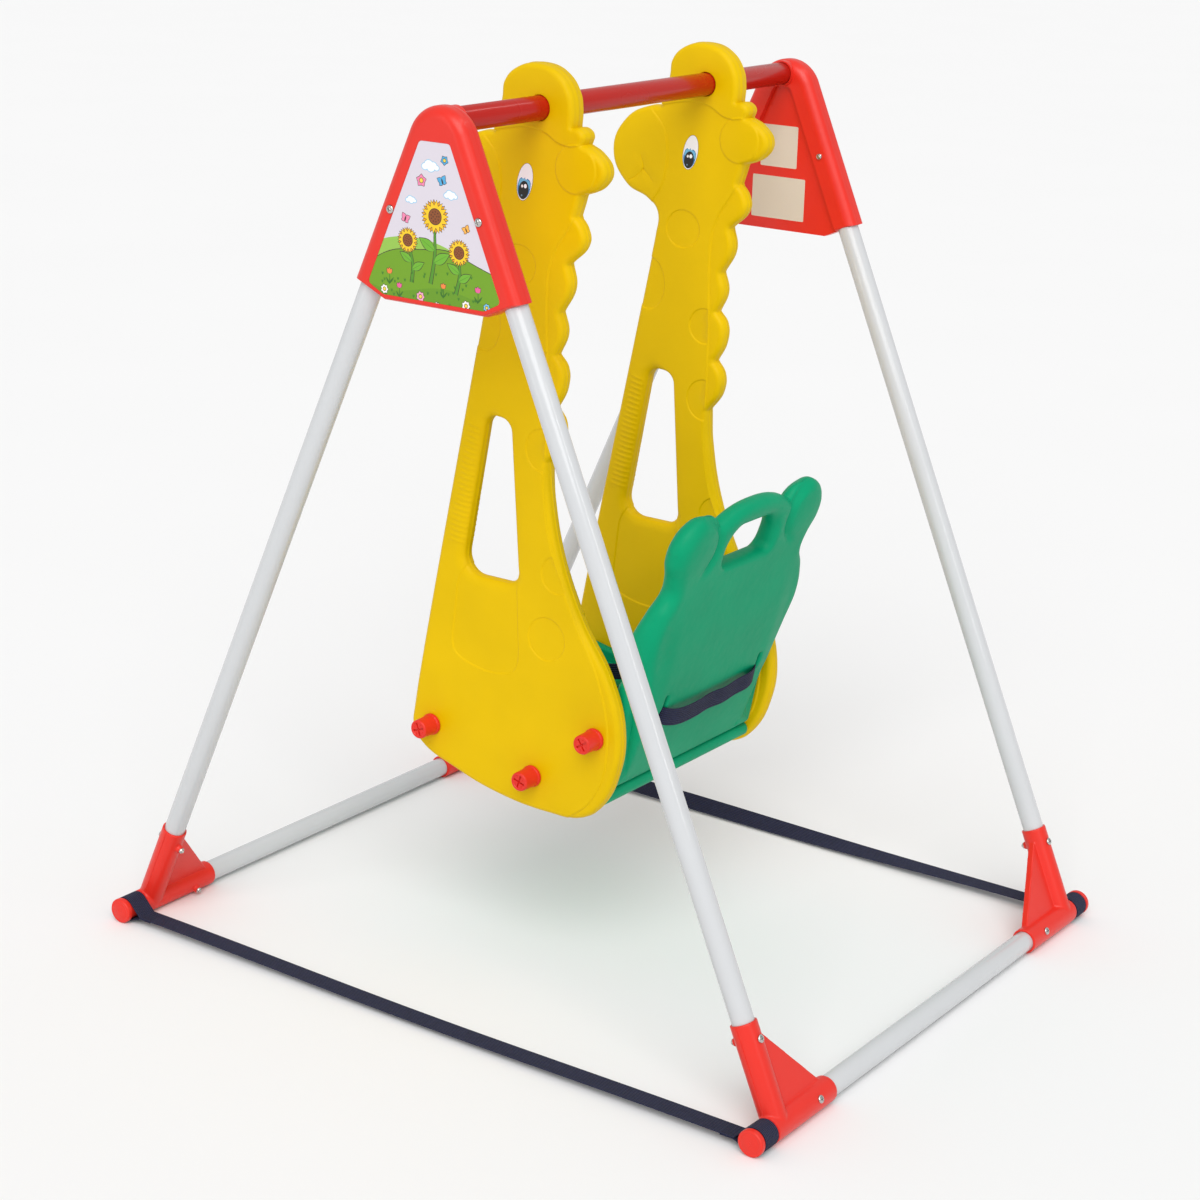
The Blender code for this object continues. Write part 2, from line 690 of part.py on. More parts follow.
def make_cover_screws(side, side_x):
    """Screws through both shells and the leg, with round nuts inside."""
    face_x = FRAME_HALF_X + GAP / 2 + COVER_DEPTH + GAP
    nut_x = FRAME_HALF_X - COVER_INNER_DEPTH - GAP
    length = face_x - nut_x + NUT_HEIGHT + 0.001
    outward = Vector((side_x, 0, 0))
    for end, side_y in (("front", -1), ("rear", 1)):
        place = leg_point(side_x, side_y, leg_reach(COVER_SCREW_Z))
        turned("cover_screw_%s_%s" % (end, side), bolt_profile(length),
               (side_x * face_x, place.y, place.z), outward, "zinc_steel", SMALL_STEPS)
        turned("cover_nut_%s_%s" % (end, side), nut_profile(),
               (side_x * nut_x, place.y, place.z), -outward, "zinc_steel", SMALL_STEPS)


# Side panel outline from the bar's axis: y, z and whether it is a corner
GIRAFFE_OUTLINE = (
    (-0.0630, 0.0080, False), (-0.0595, 0.0300, False), (-0.0395, 0.0485, False),
    (-0.0050, 0.0555, False), (0.0270, 0.0455, False), (0.0465, 0.0220, False),
    (0.0510, 0.0000, False), (0.0500, -0.0210, True), (0.0620, -0.0215, False),
    (0.0700, -0.0300, False), (0.0675, -0.0410, True), (0.0870, -0.0500, False),
    (0.1030, -0.0720, False), (0.0940, -0.0920, False), (0.0650, -0.1060, True),
    (0.0560, -0.1340, True), (0.0680, -0.1490, False), (0.0710, -0.1680, False),
    (0.0450, -0.1970, True), (0.0510, -0.2270, False), (0.0335, -0.2620, True),
    (0.0405, -0.2890, False), (0.0285, -0.3190, True), (0.0415, -0.3350, False),
    (0.0415, -0.3640, False), (0.0280, -0.3910, True), (0.0405, -0.4080, False),
    (0.0400, -0.4350, False), (0.0200, -0.4650, True), (0.0240, -0.5100, False),
    (0.0435, -0.5950, False), (0.0795, -0.6750, False), (0.1290, -0.7500, False),
    (0.1510, -0.8200, False), (0.1440, -0.8850, False), (0.1175, -0.9370, False),
    (0.0900, -0.9570, False), (0.0400, -0.9620, False), (-0.0500, -0.9560, False),
    (-0.1300, -0.9360, False), (-0.1885, -0.9120, False), (-0.2040, -0.8900, False),
    (-0.2025, -0.8600, False), (-0.0795, -0.2220, True), (-0.0770, -0.1880, False),
    (-0.0920, -0.1710, False), (-0.1310, -0.1530, False), (-0.1565, -0.1060, False),
    (-0.1360, -0.0600, False), (-0.0945, -0.0385, False), (-0.0750, -0.0375, True),
    (-0.0760, -0.0320, True), (-0.0690, -0.0180, False),
)
# Corners of the opening for an arm: y, z and the corner's radius
ARM_OPENING = (
    (-0.0815, -0.4160, 0.0190), (-0.1220, -0.6460, 0.0280),
    (-0.0200, -0.6460, 0.0240), (-0.0390, -0.4160, 0.0190),
)


def seat_point(y, z):
    """From the seat's tilted frame to the swing's, as (y, z)."""
    tilt = SEAT_TILT
    return (SEAT_ORIGIN_Y + y * math.cos(tilt) + z * math.sin(tilt),
            -SEAT_ORIGIN_DROP - y * math.sin(tilt) + z * math.cos(tilt))


def make_giraffe_panels(swing):
    mid_x = PANEL_INNER_X + PANEL_THICKNESS / 2
    for side, side_x in SIDES.items():
        name = "giraffe_panel_" + side
        mesh = flat_curve(name, [GIRAFFE_OUTLINE, rounded(ARM_OPENING)], PANEL_THICKNESS,
                          PANEL_ROUND, steps=2, bevel_steps=0)
        place = Matrix.Translation((side_x * mid_x, 0, 0)) @ SIDE_VIEW
        panel = add_object(name, mesh, "yellow_plastic", place, swing)
        inner = side_x * (PANEL_INNER_X - 0.01)
        outer = side_x * (PANEL_INNER_X + PANEL_THICKNESS + 0.01)
        cut(panel, bore("bar_hole_" + side, (inner, 0, 0), (outer, 0, 0),
                        BAR_R + RUNNING_GAP, parent=swing))
        for place, (y, z) in KNOB_PLACES.items():
            hole_y, hole_z = seat_point(y, z)
            cut(panel, bore("knob_hole_%s_%s" % (place, side), (inner, hole_y, hole_z),
                            (outer, hole_y, hole_z), KNOB_SHAFT_R + GAP, KNOB_STEPS, swing))


def knob_profile():
    """Shaft down to the left, flange on local Z 0, cap above it."""
    reach = PANEL_THICKNESS + KNOB_SHAFT_REACH
    return ((0, KNOB_LENGTH), (KNOB_CAP_R - 0.0015, KNOB_LENGTH),
            (KNOB_CAP_R, KNOB_LENGTH - 0.0015), (KNOB_CAP_R + 0.0006, 0.0085),
            (KNOB_FLANGE_R, 0.0065), (KNOB_FLANGE_R, 0.0015), (KNOB_FLANGE_R - 0.0015, 0),
            (KNOB_SHAFT_R, 0), (KNOB_SHAFT_R, -reach), (0, -reach))


def make_knobs(swing):
    face_x = PANEL_INNER_X + PANEL_THICKNESS + GAP
    for side, side_x in SIDES.items():
        for place, (y, z) in KNOB_PLACES.items():
            at_y, at_z = seat_point(y, z)
            turned("knob_screw_%s_%s" % (place, side), knob_profile(),
                   (side_x * face_x, at_y, at_z), (side_x, 0, 0), "red_plastic", KNOB_STEPS, swing)


def knob_sockets(item, seat, places):
    """Blind holes that take the ends of the knobs' shafts."""
    inner = PANEL_INNER_X - KNOB_SHAFT_REACH - 0.001
    for side, side_x in SIDES.items():
        for place in places:
            y, z = KNOB_PLACES[place]
            name = "socket_%s_%s" % (place, side)
            cut(item, bore(name, (side_x * inner, y, z), (side_x * (PANEL_INNER_X + 0.01), y, z),
                           KNOB_SHAFT_R + GAP, KNOB_STEPS, seat))


def make_seat_pan(seat):
    half = PANEL_INNER_X - GAP
    middle_z = (PAN_TOP + PAN_BOTTOM) / 2
    roll = (PAN_TOP - PAN_BOTTOM) / 2
    rear_y = PAN_REAR - roll
    front_y = -PAN_LENGTH + roll
    section = [(rear_y + roll * math.cos(a), middle_z + roll * math.sin(a))
               for a in (math.radians(d) for d in range(-90, 91, 20))]
    section += [(front_y - roll * math.cos(a), middle_z + roll * math.sin(a))
                for a in (math.radians(d) for d in range(90, -91, -20))]
    mesh = flat_curve("seat_pan", [section], 2 * half)
    pan = add_object("seat_pan", mesh, "green_plastic", SIDE_VIEW.copy(), seat)
    for side, side_x in SIDES.items():
        low, high = sorted((side_x * (half - PAN_RIM_WIDTH), side_x * half))
        rim = box_object("pan_rim_" + side, (low, PAN_RIM_FRONT + roll, PAN_TOP - 0.010),
                         (high, PAN_RIM_REAR, PAN_RIM_TOP), seat)
        round_rim = rim.modifiers.new("round", "BEVEL")
        round_rim.width = PAN_RIM_WIDTH * 0.3
        round_rim.segments = 2
        join(pan, rim)
    knob_sockets(pan, seat, ("front", "middle"))


# Half the backrest's depth and where its middle is, at heights up from the pan
BACK_DEPTHS = ((0.014, 0.0130, -0.0130), (0.044, 0.0165, -0.0095), (0.105, 0.0215, -0.0045),
               (0.153, 0.0245, -0.0015), (0.200, 0.0250, 0.0020), (0.240, 0.0235, 0.0065),
               (0.280, 0.0190, 0.0125), (0.320, 0.0165, 0.0175), (0.370, 0.0165, 0.0225),
               (0.432, 0.0165, 0.0295))


def back_depth(z):
    """Half the backrest's depth and the place of its middle at a height."""
    for (z0, half0, mid0), (z1, half1, mid1) in zip(BACK_DEPTHS, BACK_DEPTHS[1:]):
        if z <= z1 or z1 == BACK_DEPTHS[-1][0]:
            share = max((z - z0) / (z1 - z0), 0)
            return half0 + (half1 - half0) * share, mid0 + (mid1 - mid0) * share


def back_face(z):
    half, middle = back_depth(z)
    return middle + half


# Right half of the backrest's outline in (x, z), up from the bottom edge
BACK_OUTLINE = (
    (0.1500, 0.0140, True), (0.1560, 0.0500, False), (0.1600, 0.1200, False),
    (0.1770, 0.1900, False), (0.1890, 0.2450, False), (0.1780, 0.2900, False),
    (0.1630, 0.3170, False), (0.1670, 0.3380, False), (0.1790, 0.3680, False),
    (0.1740, 0.4010, False), (0.1490, 0.4240, False), (0.1200, 0.4270, False),
    (0.0990, 0.4190, False), (0.0880, 0.4070, True), (0.0520, 0.4220, False),
)
BACK_TOP = 0.4280
BACK_THICKNESS = 0.032
# Corners of the opening under the handle
HANDLE_OPENING = (
    (-0.0590, 0.3370, 0.0120), (-0.0600, 0.3940, 0.0300),
    (0.0600, 0.3940, 0.0300), (0.0590, 0.3370, 0.0120),
)


def make_backrest(seat):
    right = list(BACK_OUTLINE)
    top = (0.0, BACK_TOP, False)
    outline = right + [top] + [(-x, z, corner) for x, z, corner in reversed(right)]
    mesh = flat_curve("backrest", [outline, rounded(HANDLE_OPENING)], BACK_THICKNESS,
                      BACK_ROUND, steps=2, bevel_steps=1)
    bm = bmesh.new()
    bm.from_mesh(mesh)
    for station, _, _ in BACK_DEPTHS[1:-1]:
        geometry = list(bm.verts) + list(bm.edges) + list(bm.faces)
        bmesh.ops.bisect_plane(bm, geom=geometry, dist=1e-6,
                               plane_co=(0, station, 0), plane_no=(0, 1, 0))
    for vert in bm.verts:
        half, middle = back_depth(vert.co.y)
        vert.co.z = vert.co.z * 2 * half / BACK_THICKNESS - middle
    mesh = finish_mesh(bm, "backrest")
    back = add_object("backrest", mesh, "green_plastic", BACK_VIEW.copy(), seat)
    inner, outer = 0.130, PANEL_INNER_X - GAP
    for side, side_x in SIDES.items():
        low, high = sorted((side_x * inner, side_x * outer))
        wing = box_object("back_wing_" + side, (low, -0.042, 0.0145), (high, 0.004, 0.185), seat)
        soft = wing.modifiers.new("round", "BEVEL")
        soft.width = 0.009
        soft.segments = 2
        join(back, wing)
        low, high = sorted((side_x * SLOT_X - SLOT_WIDTH / 2, side_x * SLOT_X + SLOT_WIDTH / 2))
        slot = box_object("belt_slot_" + side, (low, -0.08, SLOT_BOTTOM),
                          (high, 0.08, SLOT_TOP), seat)
        cut(back, slot)
    knob_sockets(back, seat, ("rear",))


def ribbon_mesh(name, path, width, thickness):
    """A flat band along a path of (x, y, z), standing on its edge."""
    bm = bmesh.new()
    rings = []
    for number, place in enumerate(path):
        before = Vector(path[max(number - 1, 0)])
        after = Vector(path[min(number + 1, len(path) - 1)])
        along = (after - before).normalized()
        across = Vector((along.y, -along.x, 0)).normalized()
        up = along.cross(across).normalized()
        if up.z < 0:
            up.negate()
        place = Vector(place)
        corners = [(i * width / 2, j * thickness / 2) for i, j in ((-1, -1), (1, -1), (1, 1), (-1, 1))]
        rings.append([bm.verts.new(place + up * rise + across * out) for rise, out in corners])
    for first, second in zip(rings, rings[1:]):
        for i in range(4):
            j = (i + 1) % 4
            bm.faces.new((first[i], first[j], second[j], second[i]))
    bm.faces.new(rings[0])
    bm.faces.new(rings[-1])
    return finish_mesh(bm, name)


def smooth_path(points, steps):
    """Points on a smooth curve through the given ones."""
    result = []
    last = len(points) - 1
    for i in range(last):
        p0, p1, p2, p3 = (Vector(points[min(max(i + k, 0), last)]) for k in (-1, 0, 1, 2))
        for j in range(steps):
            t = j / steps
            result.append(0.5 * (2 * p1 + (p2 - p0) * t + (2 * p0 - 5 * p1 + 4 * p2 - p3) * t * t
                                 + (3 * p1 - p0 - 3 * p2 + p3) * t ** 3))
    result.append(Vector(points[-1]))
    return result


def belt_path():
    """From the buckle's left end, back through the left slot, round and forward."""
    slot_z = SLOT_BOTTOM + 0.029
    low_z = BUCKLE_Z
    rear = back_face(slot_z)
    end_x = BUCKLE_LENGTH + GAP
    front = ((end_x, BUCKLE_Y, low_z), (end_x + 0.010, BUCKLE_Y, low_z),
             (0.075, -0.216, low_z), (0.112, -0.170, low_z + 0.010),
             (0.1250, -0.100, low_z + 0.045), (SLOT_X + 0.0005, -0.045, slot_z - 0.010),
             (SLOT_X, -0.005, slot_z - 0.009), (SLOT_X, rear, slot_z - 0.012))
    behind = ((0.100, rear + 0.011, slot_z - 0.019), (0.050, rear + 0.013, slot_z - 0.019),
              (0.0, rear + 0.012, slot_z - 0.016), (-0.050, rear + 0.013, slot_z - 0.013),
              (-0.100, rear + 0.011, slot_z - 0.009))
    far = [(-x, y, z) for x, y, z in reversed(front)]
    return smooth_path([*front, *behind, *far], 3)


def make_belt(seat):
    mesh = ribbon_mesh("lap_belt", belt_path(), BELT_WIDTH, BELT_THICKNESS)
    add_object("lap_belt", mesh, "navy_webbing", None, seat)
    halves = (("buckle_socket", 0.0, BUCKLE_LENGTH), ("buckle_plug", -BUCKLE_LENGTH, 0.0))
    for name, low, high in halves:
        shell = box_object("block", (low + GAP / 2, BUCKLE_Y - BUCKLE_THICKNESS / 2,
                                     BUCKLE_Z - BUCKLE_WIDTH / 2),
                           (high - GAP / 2, BUCKLE_Y + BUCKLE_THICKNESS / 2,
                            BUCKLE_Z + BUCKLE_WIDTH / 2))
        mesh = shell.data
        bpy.data.objects.remove(shell, do_unlink=True)
        half = add_object(name, mesh, "black_plastic", None, seat)
        soft = half.modifiers.new("round", "BEVEL")
        soft.width = 0.003
        soft.segments = 2


def main():
    make_top_bar()
    make_legs()
    make_base_tubes()
    make_corner_joints()
    make_frame_bolts()
    make_end_caps()
    make_spread_straps()
    for side, side_x in SIDES.items():
        make_outer_cover(side, side_x)
        make_inner_cover(side, side_x)
        make_cover_screws(side, side_x)
    swing = add_empty("swing_axis", (0, 0, BAR_Z))
    seat = add_empty("seat_frame", (0, SEAT_ORIGIN_Y, -SEAT_ORIGIN_DROP), -SEAT_TILT, swing)
    make_giraffe_panels(swing)
    make_knobs(swing)
    make_seat_pan(seat)
    make_backrest(seat)
    make_belt(seat)


main()
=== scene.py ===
"""Baby swing set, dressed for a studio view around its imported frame.

Metres, +Z up. X runs along the top bar and the seated child faces -Y. Left is +X.
The file is laid out as an add-on: one operator makes each group of like pieces.
"""

import math
import random

import bmesh
import bpy
import numpy as np
from bpy.props import FloatProperty, FloatVectorProperty, PointerProperty
from mathutils import Matrix, Vector, geometry


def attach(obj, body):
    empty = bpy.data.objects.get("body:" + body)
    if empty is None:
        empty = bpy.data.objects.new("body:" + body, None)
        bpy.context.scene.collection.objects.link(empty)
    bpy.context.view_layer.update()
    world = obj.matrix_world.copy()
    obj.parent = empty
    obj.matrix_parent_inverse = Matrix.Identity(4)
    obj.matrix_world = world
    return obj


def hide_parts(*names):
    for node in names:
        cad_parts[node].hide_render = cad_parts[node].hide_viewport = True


bl_info = {
    "name": "Baby Swing Set",
    "version": (1, 0, 0),
    "blender": (4, 5, 0),
    "location": "View3D > Sidebar > Swing",
    "description": "Makes the visible pieces of a baby swing set around its packed frame",
    "category": "Object",
}

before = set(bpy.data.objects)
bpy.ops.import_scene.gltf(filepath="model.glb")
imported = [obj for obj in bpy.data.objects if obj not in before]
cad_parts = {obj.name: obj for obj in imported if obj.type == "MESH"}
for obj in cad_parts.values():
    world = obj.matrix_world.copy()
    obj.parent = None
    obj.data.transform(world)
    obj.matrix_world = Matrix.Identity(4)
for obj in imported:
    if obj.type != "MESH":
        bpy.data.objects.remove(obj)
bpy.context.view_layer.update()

STAND, SWING = "stand", "swing"
SIDES = {"left": 1, "right": -1}
ENDS = {"front": -1, "rear": 1}
CORNERS = {end + "_" + side: (side_x, side_y)
           for side, side_x in SIDES.items() for end, side_y in ENDS.items()}


def linear(hex_colour):
    """An sRGB hex value as linear red, green and blue."""
    parts = [int(hex_colour[i:i + 2], 16) / 255 for i in (0, 2, 4)]
    return tuple(p / 12.92 if p <= 0.04045 else ((p + 0.055) / 1.055) ** 2.4 for p in parts)


def length(name, text, default, low=0.0001, high=2.0):
    return FloatProperty(name=name, description=text, default=default, min=low, max=high,
                         precision=4, subtype="DISTANCE", unit="LENGTH")


def colour(name, text, hex_colour):
    return FloatVectorProperty(name=name, description=text, default=linear(hex_colour),
                               min=0.0, max=1.0, size=3, subtype="COLOR")


class SwingSizes(bpy.types.PropertyGroup):
    """Sizes of the swing set's pieces."""

    tube_radius: length("Tube radius", "Outside radius of legs and base tubes", 0.015)
    bar_radius: length("Bar radius", "Outside radius of the top bar", 0.016)
    tube_wall: length("Tube wall", "Wall of the steel tubes", 0.0012)
    socket_radius: length("Socket radius", "Outside radius of a joint's base socket", 0.0182)
    leg_socket_radius: length("Leg socket radius", "Outside radius of a leg socket", 0.0178)
    leg_socket_length: length("Leg socket length", "Reach of a leg socket", 0.136)
    base_socket_length: length("Base socket length", "Reach of a base socket", 0.120)
    strap_width: length("Strap width", "Width of the webbing between the feet", 0.030)
    strap_thickness: length("Strap thickness", "Thickness of the webbing", 0.0013)
    cover_depth: length("Cover depth", "Depth of a cover's outer shell", 0.0213)
    cover_inner_depth: length("Inner depth", "Depth of a cover's inner shell", 0.0175)
    cover_round: length("Cover rounding", "Rounding of a cover's long edges", 0.0155)
    cover_low_round: length("Low rounding", "Rounding of a cover's low edge", 0.005)
    panel_thickness: length("Panel thickness", "Thickness of a side panel", 0.028)
    panel_round: length("Panel rounding", "Rounding of a side panel's edge", 0.0078)
    belt_width: length("Belt width", "Width of the lap belt", 0.026)
    belt_thickness: length("Belt thickness", "Thickness of the lap belt", 0.0016)
    knob_length: length("Knob length", "How far a knob stands out", 0.0315)
    screw_head: length("Screw head", "Radius of a screw's head", 0.0054)


class SwingColours(bpy.types.PropertyGroup):
    """Colours of the swing set's pieces."""

    panel: colour("Panels", "Yellow of the side panels", "E2BB00")
    seat: colour("Seat", "Green of the seat", "009B6D")
    moulding: colour("Mouldings", "Red of covers, joints, caps and knobs", "E22D20")
    bar: colour("Top bar", "Red enamel of the bar", "B4160B")
    tube: colour("Tubes", "White of the legs and base tubes", "CACCCE")
    webbing: colour("Webbing", "Navy of the straps and the belt", "232642")
    zinc: colour("Screws", "Zinc of screws and nuts", "CFCECA")
    buckle: colour("Buckle", "Black of the buckle", "1B1B1F")
    floor: colour("Floor", "Pale floor under the swing", "F2F2F2")


# Places that the frame gives: the same values as the part's source, except that the belt's
# slots sit 4 mm nearer the middle and are 19 mm shorter

GAP = 0.0003
FRAME_HALF_X = 0.400
FOOT_HALF_Y = 0.541
BAR_Z = 1.204
APEX_Z = BAR_Z + 0.0447
LEG_TOP_UNDER_BAR = 0.040
BASE_AXIS_Z = 0.0182
COLLAR_REACH = 0.0197
STUB_LENGTH = 0.0334
STUB_WALL = 0.0010
LEG_BOLT_REACH = 0.112
BASE_BOLT_REACH = 0.080
WEB_LEG_REACH = 0.128
WEB_BASE_REACH = 0.114
BOSS_HEIGHT = 0.0045
COVER_SIDE = 0.0185
COVER_LEG_END_Z = 0.9895
COVER_CHAMFER_REACH = 0.037
COVER_TOP_OVER_BAR = 0.0200
COVER_SCREW_Z = 1.0908
COVER_WEB_DEPTH = 0.010
COVER_RIM_HALF = 0.013
COLLAR_R = 0.0184
BAR_END_REACH = 0.012
PANEL_INNER_X = 0.1795
SEAT_TILT = math.radians(10.8)
SEAT_ORIGIN = Vector((0, 0.1156, BAR_Z - 0.9321))
SLOT_X = 0.118
BUCKLE_Y = -0.226
BUCKLE_Z = 0.0333
BUCKLE_LENGTH = 0.034
KNOB_PLACES = {"front": (-0.2876, 0.0), "middle": (-0.1064, 0.0), "rear": (-0.020, 0.097)}

# Screws and knobs: their holes, countersinks and shanks, and the joints' bosses
SCREW_HOLE_R = 0.0027
SCREW_SEAT_R = 0.0058
SCREW_SHANK_R = 0.0024
BOSS_R = 0.0060
KNOB_BORE_R = 0.0083
# How far a cover's channel for a leg runs on below the cover
LEG_CHANNEL_END = 0.03
# Printed sheets and films: thickness, recess, and a film's face above its ground
SHEET = 0.0010
SHEET_RECESS = 0.0014
FILM = 0.00012
FILM_FACE = 0.00014
LABEL_PAPER = "DCD1C3"
# Longest step along the rims of the moulded plates
RIM_STEP = 0.0042
# The triangulation works in millimetres
CUT_SCALE = 1000.0

LEG_LENGTH = math.hypot(FOOT_HALF_Y, APEX_Z - BASE_AXIS_Z)
LEG_SIN = FOOT_HALF_Y / LEG_LENGTH
LEG_COS = (APEX_Z - BASE_AXIS_Z) / LEG_LENGTH
STUB_END_X = FRAME_HALF_X + COLLAR_REACH + STUB_LENGTH

# Local X, Y and Z of a side view become world Y, Z and X
SIDE_VIEW = Matrix(((0, 0, 1, 0), (1, 0, 0, 0), (0, 1, 0, 0), (0, 0, 0, 1)))
MIRROR_FACE = Matrix.Diagonal((1, 1, -1, 1))
SEAT_FRAME = Matrix.Translation(SEAT_ORIGIN) @ Matrix.Rotation(-SEAT_TILT, 4, "X")


def side_view(x, z=0.0):
    """Stands a piece drawn in side view upright at a place along X."""
    return Matrix.Translation((x, 0, z)) @ SIDE_VIEW


def leg_point(side_x, side_y, reach):
    """A point on a leg's axis, at a distance up from the foot."""
    return Vector((side_x * FRAME_HALF_X, side_y * (FOOT_HALF_Y - reach * LEG_SIN),
                   BASE_AXIS_Z + reach * LEG_COS))


def leg_reach(z):
    return (z - BASE_AXIS_Z) / LEG_COS


def leg_half_y(z):
    return (APEX_Z - z) * LEG_SIN / LEG_COS


def bolt_direction(side_y):
    """Square to a corner joint's web, pointing out of the stand."""
    return Vector((0, side_y * LEG_COS, LEG_SIN))


def bolt_places(side_x, side_y):
    foot = leg_point(side_x, side_y, 0)
    return {"leg": leg_point(side_x, side_y, LEG_BOLT_REACH),
            "base": foot - Vector((side_x * BASE_BOLT_REACH, 0, 0))}


def screw_place(side_x, side_y):
    return leg_point(side_x, side_y, leg_reach(COVER_SCREW_Z))


def seat_point(y, z):
    return SEAT_FRAME @ Vector((0, y, z))


# Modelling steps

def sizes():
    return bpy.context.scene.swing_sizes


def colours():
    return bpy.context.scene.swing_colours


def take(piece):
    """Select one piece alone and make it active."""
    bpy.ops.object.select_all(action="DESELECT")
    piece.select_set(True)
    bpy.context.view_layer.objects.active = piece
    return piece


def named(piece, name):
    piece.name = piece.data.name = name
    return piece


def fix_place(piece):
    take(piece)
    bpy.ops.object.transform_apply(location=True, rotation=True, scale=True)
    return piece


def edit(piece, mode="VERT", select=None):
    """Enter edit mode, with all or nothing selected if asked for."""
    take(piece)
    bpy.ops.object.mode_set(mode="EDIT")
    bpy.ops.mesh.select_mode(type=mode)
    if select:
        bpy.ops.mesh.select_all(action=select)


def leave_edit():
    bpy.ops.object.mode_set(mode="OBJECT")


def round_edges(piece, radius, segments, select="SELECT"):
    """Round a piece's edges: all of them, or without select the chosen ones."""
    edit(piece, "EDGE", select)
    bpy.ops.mesh.bevel(offset=radius, segments=segments, affect="EDGES")
    leave_edit()


def piece_of(name, bm):
    """A piece whose mesh was made point by point."""
    bpy.ops.mesh.primitive_plane_add(size=1.0)
    piece = named(bpy.context.object, name)
    bm.to_mesh(piece.data)
    bm.free()
    return piece


def discard(*pieces):
    for piece in pieces:
        bpy.data.objects.remove(piece, do_unlink=True)


def clean(piece, merge=1e-6):
    """Merge doubles and point the faces outwards."""
    edit(piece, select="SELECT")
    bpy.ops.mesh.remove_doubles(threshold=merge)
    bpy.ops.mesh.normals_make_consistent(inside=False)
    leave_edit()
    return piece


def smooth(piece, angle=35):
    take(piece)
    bpy.ops.object.shade_smooth_by_angle(angle=math.radians(angle))
    return piece


def modify(piece, kind, **settings):
    """Add a modifier with its settings and apply it."""
    take(piece)
    bpy.ops.object.modifier_add(type=kind)
    change = piece.modifiers[-1]
    for key, value in settings.items():
        setattr(change, key, value)
    bpy.ops.object.modifier_apply(modifier=change.name)
    return piece


def combine(piece, operation, *others):
    """Unite with, or cut by, other solids, which are used up."""
    for other in others:
        modify(piece, "BOOLEAN", operation=operation, solver="EXACT", object=other)
        discard(other)
    return piece


def unite(piece, *others):
    return combine(piece, "UNION", *others)


def cut(piece, *others):
    return combine(piece, "DIFFERENCE", *others)


def trim(piece, angle, weight=None):
    """Clean a cut solid and shade it. A weight keeps its broad faces flat."""
    smooth(clean(piece, 2e-6), angle)
    if weight:
        modify(piece, "WEIGHTED_NORMAL", keep_sharp=True, weight=weight)


def copy_of(piece, name, matrix):
    """A copy with its own mesh, moved by a matrix, turned right side out."""
    mesh = piece.data.copy()
    mesh.transform(matrix)
    if matrix.determinant() < 0:
        mesh.flip_normals()
    twin = bpy.data.objects.new(name, mesh)
    mesh.name = name
    bpy.context.scene.collection.objects.link(twin)
    return twin


def aim(start, direction):
    """Place local +Z along a direction, starting at a point."""
    turn = Vector((0, 0, 1)).rotation_difference(Vector(direction).normalized())
    return Matrix.Translation(start) @ turn.to_matrix().to_4x4()


def rod(name, start, end, radius, steps=48, caps=True, twist=0.0):
    """A round bar between two points. A twist keeps its facets off another rod's."""
    start, end = Vector(start), Vector(end)
    bpy.ops.mesh.primitive_cylinder_add(vertices=steps, radius=radius,
                                        depth=(end - start).length,
                                        end_fill_type="NGON" if caps else "NOTHING")
    piece = named(bpy.context.object, name)
    middle = Matrix.Translation((0, 0, (end - start).length / 2))
    spin = Matrix.Rotation(twist, 4, "Z")
    piece.data.transform(aim(start, end - start) @ middle @ spin)
    return piece


def block(name, low, high, rounding=0.0, segments=4):
    """A box with rounded edges."""
    low, high = Vector(low), Vector(high)
    bpy.ops.mesh.primitive_cube_add(size=1.0, location=(low + high) / 2)
    piece = named(bpy.context.object, name)
    piece.scale = high - low
    fix_place(piece)
    if rounding:
        round_edges(piece, rounding, segments)
    return piece


def turned(name, profile, steps=48):
    """A turned piece from (radius, height) points, spun about Z."""
    bm = bmesh.new()
    points = [bm.verts.new((radius, 0, height)) for radius, height in profile]
    for first, second in zip(points, points[1:]):
        bm.edges.new((first, second))
    piece = piece_of(name, bm)
    edit(piece, select="SELECT")
    bpy.ops.mesh.spin(steps=steps, angle=2 * math.pi, center=(0, 0, 0), axis=(0, 0, 1))
    leave_edit()
    return clean(piece)


def rounded(corners, arc_steps=8):
    """A polygon's points, with each corner (x, y, radius) as an arc."""
    points = []
    for number, (x, y, radius) in enumerate(corners):
        corner = Vector((x, y))
        before = Vector(corners[number - 1][:2]) - corner
        after = Vector(corners[(number + 1) % len(corners)][:2]) - corner
        half = before.angle(after) / 2
        middle = corner + (before.normalized() + after.normalized()).normalized() * (
            radius / math.sin(half))
        start = corner + before.normalized() * (radius / math.tan(half)) - middle
        end = corner + after.normalized() * (radius / math.tan(half)) - middle
        turn = start.angle_signed(end)
        for i in range(arc_steps + 1):
            spoke = start.copy()
            spoke.rotate(Matrix.Rotation(-turn * i / arc_steps, 2))
            points.append(tuple(middle + spoke))
    return points


def fair_loop(points, steps=8):
    """A smooth closed curve through (x, y, corner) points, as a polyline."""
    bpy.ops.curve.primitive_bezier_circle_add()
    holder = bpy.context.object
    curve = holder.data
    curve.dimensions = "2D"
    curve.fill_mode = "NONE"
    spline = curve.splines[0]
    spline.bezier_points.add(len(points) - len(spline.bezier_points))
    spline.resolution_u = steps
    for point, (x, y, corner) in zip(spline.bezier_points, points):
        point.co = (x, y, 0)
        kind = "VECTOR" if corner else "AUTO"
        point.handle_left_type = point.handle_right_type = kind
    bpy.ops.object.convert(target="MESH")
    holder = bpy.context.object
    line = [tuple(vert.co[:2]) for vert in holder.data.vertices]
    discard(holder)
    return line


